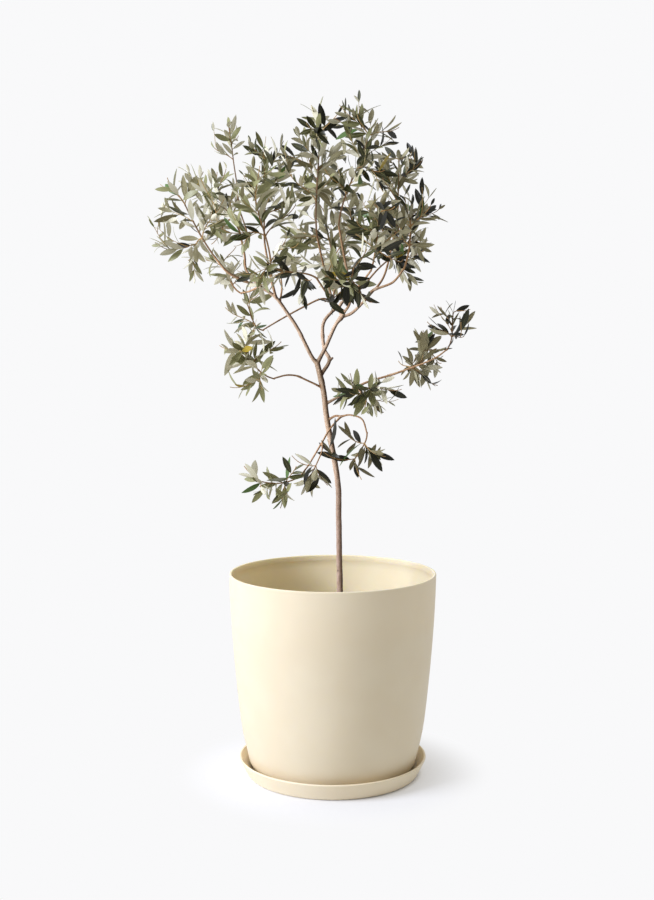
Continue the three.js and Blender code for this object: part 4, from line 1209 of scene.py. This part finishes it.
def stands_free(root, along, length, twig, wood, leaves):
    """Off the twigs that don't bear it, and off the leaves that are there already."""
    spine = root + np.outer(FREE_SHARES * length, along)
    starts, ways, owners = wood
    others = owners != id(twig)
    if distances(spine, starts[others], ways[others]).min() < LEAF_OFF_TWIG:
        return False
    rivals = [leaf for leaf in leaves if leaf["root"] is not root]
    if not rivals:
        return True
    roots = np.array([leaf["root"] for leaf in rivals])
    reaches = np.array([leaf["along"] * leaf["length"] for leaf in rivals])
    return distances(spine, roots, reaches).min() > LEAF_OFF_LEAF


def grow_leaves(i, twigs):
    _, _, _, _, big, seed = MASSES[names[i]]
    roll = dice(seed * LEAF_SEEDS[0] + LEAF_SEEDS[1])
    pieces = []
    for twig in twigs:
        bends = [curve_point(twig["curve"], t) for t in np.linspace(0, 1, 5)]
        pieces += [(a, b - a, id(twig)) for a, b in zip(bends, bends[1:])]
    wood = tuple(np.array(column) for column in zip(*pieces))
    leaves = []
    for spray, twig in enumerate(twigs):
        curve, length = twig["curve"], twig["length"]
        twig["pairs"] = []
        phase = roll() * math.pi
        at = twig["leafy_from"] * length
        pair = 0
        last = False
        while not last:
            last = at > length - LEAF_PITCH
            t = LAST_PAIR_AT if last else at / length
            root = curve_point(curve, t)
            stalk = curve_heading(curve, t)
            turn = phase + pair * math.pi / 2 + (roll() - 0.5) * PAIR_STRAY
            side = side_way(stalk, turn)
            twig["pairs"].append(t)
            for sign in (1, -1):
                opening = LAST_OPENING if last else LEAF_OPENING
                opened = math.radians(opening + (roll() - 0.5) * OPENING_STRAY)
                size = LEAF_LENGTH * big * mixed(*LEAF_SIZES, roll())
                size *= (LAST_LEAF_SIZE if last else 1) * (1 - LEAF_DWINDLE * t)
                twist = (roll() - 0.5) * LEAF_TWIST
                droop = mixed(*LEAF_DROOP, roll())
                if roll() < LEAF_MISSING:
                    continue
                along = unit(stalk * math.cos(opened) + side * sign * math.sin(opened) - UP * droop)
                face = stalk * math.sin(opened) - side * sign * math.cos(opened)
                face = unit(face - along * float(face @ along))
                face = unit(face * math.cos(twist) + cross(along, face) * math.sin(twist))
                across = cross(along, face)
                for shrink in LEAF_SHRINKS:
                    long = size * shrink
                    if leaf_fits(i, root, along, across, face, long) and stands_free(
                        root, along, long, twig, wood, leaves
                    ):
                        leaves.append(
                            dict(root=root, along=along, face=face, length=long, mass=i, spray=spray)
                        )
                        break
            at += LEAF_PITCH * (1 + PITCH_STRAY * (2 * roll() - 1))
            if at > length - LEAF_PITCH * LAST_PITCH:
                at = length
            pair += 1
    return leaves


crown = {}
for i, name in enumerate(names):
    twigs = grow_shoots(i)
    twigs += grow_side_shoots(i, twigs)
    crown[name] = (twigs, grow_leaves(i, twigs))
print("twigs:", sum(len(twigs) for twigs, _ in crown.values()))
print("leaves:", sum(len(leaves) for _, leaves in crown.values()))

# %% [markdown]
# ## Twigs
# Last year's wood is brown, this year's shoots are still pale green, and each pair of leaves sits on
# a slight swelling. The finest twigs are thinner than a match. All twigs of a part of the crown are
# one mesh, and their colours are plain, dealt out by twig, because a pattern would be too small to
# show.

# %% Twig shapes
TWIG_SIDES = 6
TWIG_STEP = 7.0
SWELLING = 0.32
SWELLING_HALF = 1.3
TWIG_WAVE = 0.5
STEM_SINK = 3.0
TWIG_END = 0.6
TWIG_SEED = 7

GROUPS = {
    "left_crown": (
        "left_wing", "left_upper", "left_tip", "left_lower", "left_front", "left_back", "left_inner",
    ),
    "middle_crown": ("centre_top", "centre_front", "front_low", "back", "left_cross", "left_middle"),
    "right_crown": ("right_top", "right_outer", "right_upper", "right_front", "back_right"),
    "low_branches": ("right_middle", "right_wing", "right_inner", "low_left", "low_front", "low_right"),
}
TWIG_PAINTS = {
    "stem": ("957149", "7f6142"),
    "shoot": ("a67f4d", "b5935f", "8c6a42"),
    "side": ("b99d68", "cdbd8e", "a5854f"),
}
twig_colors = [code for codes in TWIG_PAINTS.values() for code in codes]
twig_finishes = [
    Finish(f"twig_{code}", Base_Color=paint(code), Roughness=0.6, Specular_IOR_Level=0.3)
    for code in twig_colors
]


def twig_mesh(twig, luck):
    """Rings every few millimetres, and three close ones at each pair of leaves for its swelling."""
    length = twig["length"]
    marks = {t: 0.0 for t in np.linspace(0, 1, max(4, round(length / TWIG_STEP) + 1))}
    for t in twig["pairs"]:
        marks.update({t - SWELLING_HALF / length: 0.0, t: SWELLING, t + SWELLING_HALF / length: 0.0})
    shares = sorted(t for t in marks if 0 <= t <= 1)
    points = np.array([curve_point(twig["curve"], t) for t in shares])
    radii = np.array([mixed(*twig["radius"], t) * (1 + marks[t]) for t in shares])
    wave = luck.uniform(-1, 1, (2, 3)) * TWIG_WAVE
    bend = np.sin(np.outer(shares, (math.pi, 2 * math.pi)))
    points = points + bend @ wave
    if twig["kind"] == "stem":
        points = np.vstack([points[0] - curve_heading(twig["curve"], 0) * STEM_SINK, points])
        radii = np.concatenate([radii[:1], radii])
    radii[-1] *= TWIG_END
    return tube(points, radii, TWIG_SIDES)


for group, members in GROUPS.items():
    luck = np.random.default_rng(TWIG_SEED)
    pile = Pile()
    for name in members:
        for twig in crown[name][0]:
            code = luck.choice(TWIG_PAINTS[twig["kind"]])
            pile.add(*twig_mesh(twig, luck), twig_colors.index(code))
    pile.piece(f"{group}_twigs", twig_finishes, members, "foliage")

# %% [markdown]
# ## Leaves
# An olive leaf is narrow and pointed, three or four times as long as wide, leathery, dark green and
# slightly glossy above and silvery below, with a pale rib. A flat card with a picture of a leaf
# would be cheap, but it looks like paper from the side. Each leaf here is a thin closed blade: eight
# points round its section, carried along from the stalk to the tip, folded a little at the rib and
# bent along its length. The numbers for all the leaves are worked out at once.

# %% Leaf shape
STATIONS = np.array([0.0, 0.07, 0.17, 0.32, 0.5, 0.68, 0.86, 1.0])
STALK_END = 0.06
STALK_HALF = 0.5
STALK_TIP = 0.08
RIB_HALF = 0.42
RIB_TIP = 0.12
RIB_WIDEST = 0.6
RIB_RISE = 0.4
RIB_THICK = 0.3
BLADE_HALF_THICK = 0.2
BLADE_LEAN, BLADE_FULLNESS = 0.92, 0.72
FOLD = (-0.15, 0.42)
BEND = (-0.2, 0.45)
BEND_LIMITS = (-1.3, 1.0)
SWAY = 0.22
CURL = 0.35
WIDTHS = (0.8, 1.05)
AROUND_LEAF = 8


def blade_width(s):
    """Half the blade's width along the leaf, as a share of its widest: pointed at both ends."""
    t = np.clip((s - STALK_END) / (1 - STALK_END), 0, 1)
    return np.sin(math.pi * t**BLADE_LEAN) ** BLADE_FULLNESS


def leaf_points(leaves, luck):
    """For every leaf, eight stations of eight points: four above from left to right, four below."""
    count = len(leaves)
    keys = ("root", "along", "face", "length")
    root, along, face, length = (np.array([leaf[key] for leaf in leaves]) for key in keys)
    across = np.cross(along, face)
    length = length[:, None]
    fold = luck.uniform(*FOLD, (count, 1))
    bend = luck.normal(*BEND, (count, 1)).clip(*BEND_LIMITS)
    sway = luck.uniform(-SWAY, SWAY, (count, 1))
    curl = luck.uniform(-CURL, CURL, (count, 1))
    half = length * LEAF_HALF_WIDTH * luck.uniform(*WIDTHS, (count, 1))
    s = STATIONS[None]
    forward = length * (s - bend**2 * s**3 / 6)
    rise = length * bend * s**2 / 2
    drift = length * sway * s**2 / 2
    wide = np.maximum(half * blade_width(s), mixed(STALK_HALF, STALK_TIP, s**4))
    rib = np.minimum(mixed(RIB_HALF, RIB_TIP, s), wide * RIB_WIDEST)
    lift = wide * np.tan(fold)
    thin = np.where(s < STALK_END, STALK_HALF, BLADE_HALF_THICK)
    thick = np.where(s < STALK_END, STALK_HALF, RIB_THICK)
    columns = [
        (-wide, lift + thin), (-rib, thin * RIB_RISE), (rib, thin * RIB_RISE), (wide, lift + thin),
        (wide, lift - thin), (rib, -thick), (-rib, -thick), (-wide, lift - thin),
    ]
    turn = curl * s
    points = []
    for sideways, upward in columns:
        y = sideways * np.cos(turn) - upward * np.sin(turn) + drift
        z = sideways * np.sin(turn) + upward * np.cos(turn) + rise
        points.append(
            root[:, None] + forward[:, :, None] * along[:, None] + y[:, :, None] * across[:, None]
            + z[:, :, None] * face[:, None]
        )
    return np.stack(points, axis=2)


# %% Leaf colours
# Tops go from nearly black green to a pale grey green, and undersides from silver to beige. Shade is
# painted in: leaves are painted darker towards the tree's right, away from the lamp, and low down,
# and paler on its left. Three masses are painted paler as a whole, and one darker. A few new leaves
# are bright green and a few old ones turn yellow.
TOPS = ["181809", "23240f", "343519", "4a4b27", "68673e", "8b8a5f"]
NEW_TOP = "56713a"
OLD_TOP = "a08a30"
UNDERS = ["d8d3ba", "cac5a9", "b4ae8c", "968f6c", "7a7252"]
RIB_LIGHTER = 2
NEW_SHARE = 0.035
OLD_SHARE = 0.012
# How the painted shade grows towards the right and low down
PAINTED_SHADE_SPAN = 440.0
LOW_PAINTED_SHADE = 0.2
LOW_FROM, LOW_TO = 880.0, 780.0
PALE_MASSES = ("left_middle", "right_inner", "low_left")
DARK_MASSES = ("low_right",)
MASS_SHIFT = 0.5
TOP_DARKNESS, TOP_BY_SPRAY, TOP_BY_LEAF = 0.45, 0.26, 0.24
UNDER_DULLNESS, UNDER_BY_SHADE, UNDER_BY_SPRAY, UNDER_BY_LEAF = 0.36, 0.6, 0.22, 0.2
TOP_LOOKS = dict(Roughness=0.4, Specular_IOR_Level=0.35)
UNDER_LOOKS = dict(Roughness=0.62, Specular_IOR_Level=0.25)

top_codes = TOPS + [NEW_TOP, OLD_TOP]
first_under = len(top_codes)
leaf_finishes = [
    Finish(f"leaf_{code}", Base_Color=paint(code), **looks)
    for codes, looks in ((top_codes, TOP_LOOKS), (UNDERS, UNDER_LOOKS)) for code in codes
]


def leaf_slots(leaves, luck):
    """A slot for the top and one for the underside of every leaf, dealt out by spray. A spray's third
    number isn't used: it is drawn so that the later ones stay as they are."""
    tops, unders = [], []
    tones = {}
    for leaf in leaves:
        spray = (leaf["mass"], leaf["spray"])
        if spray not in tones:
            tones[spray] = (luck.normal(), luck.normal(), luck.random())
        tone, silver, _ = tones[spray]
        # Painted shade: darker to the right and low down, paler to the left, shifted for the listed masses.
        low = np.interp(-leaf["root"][2], (-LOW_FROM, -LOW_TO), (0, LOW_PAINTED_SHADE))
        shift = (names[leaf["mass"]] in DARK_MASSES) - (names[leaf["mass"]] in PALE_MASSES)
        shade = leaf["root"][0] / PAINTED_SHADE_SPAN + low + MASS_SHIFT * shift
        dark = TOP_DARKNESS + shade + TOP_BY_SPRAY * tone + TOP_BY_LEAF * luck.normal()
        top = int(np.clip((1 - dark) * len(TOPS), 0, len(TOPS) - 1))
        if luck.random() < NEW_SHARE:
            top = len(TOPS)
        if luck.random() < OLD_SHARE:
            top = len(TOPS) + 1
        dull = UNDER_DULLNESS + UNDER_BY_SHADE * shade + UNDER_BY_SPRAY * silver
        dull += UNDER_BY_LEAF * luck.normal()
        under = int(np.clip(dull * len(UNDERS), 0, len(UNDERS) - 1))
        tops.append(top)
        unders.append(first_under + under)
    return np.array(tops), np.array(unders)


# %% Leaf meshes
LEAF_SEED = 11

segments = len(STATIONS) - 1
quads, _ = ring_faces(len(STATIONS), AROUND_LEAF)
leaf_quads = np.concatenate(quads)[:, ::-1]
around = np.arange(AROUND_LEAF)
leaf_ends = np.array([around, (segments * AROUND_LEAF + around)[::-1]])
total = 0
for group, members in GROUPS.items():
    luck = np.random.default_rng(LEAF_SEED)
    leaves = [leaf for name in members for leaf in crown[name][1]]
    points = leaf_points(leaves, luck)
    tops, unders = leaf_slots(leaves, luck)
    offsets = np.arange(len(leaves))[:, None, None] * len(STATIONS) * AROUND_LEAF
    upper, lower = tops[:, None], unders[:, None]
    rib_top = np.where(upper < len(TOPS), np.minimum(upper + RIB_LIGHTER, len(TOPS) - 1), upper)
    rib_under = np.maximum(lower - 1, first_under)
    section = np.hstack([upper, rib_top, upper, upper, lower, rib_under, lower, upper])
    pile = Pile()
    slots = np.concatenate([np.tile(section, (1, segments)).ravel(), np.repeat(tops, 2)])
    quads = (leaf_quads + offsets).reshape(-1, 4)
    ends = (leaf_ends + offsets).reshape(-1, AROUND_LEAF)
    pile.add(points, [quads, ends], slots)
    pile.piece(f"{group}_leaves", leaf_finishes, members, "foliage")
    total += len(leaves)
print("leaves in all:", total)
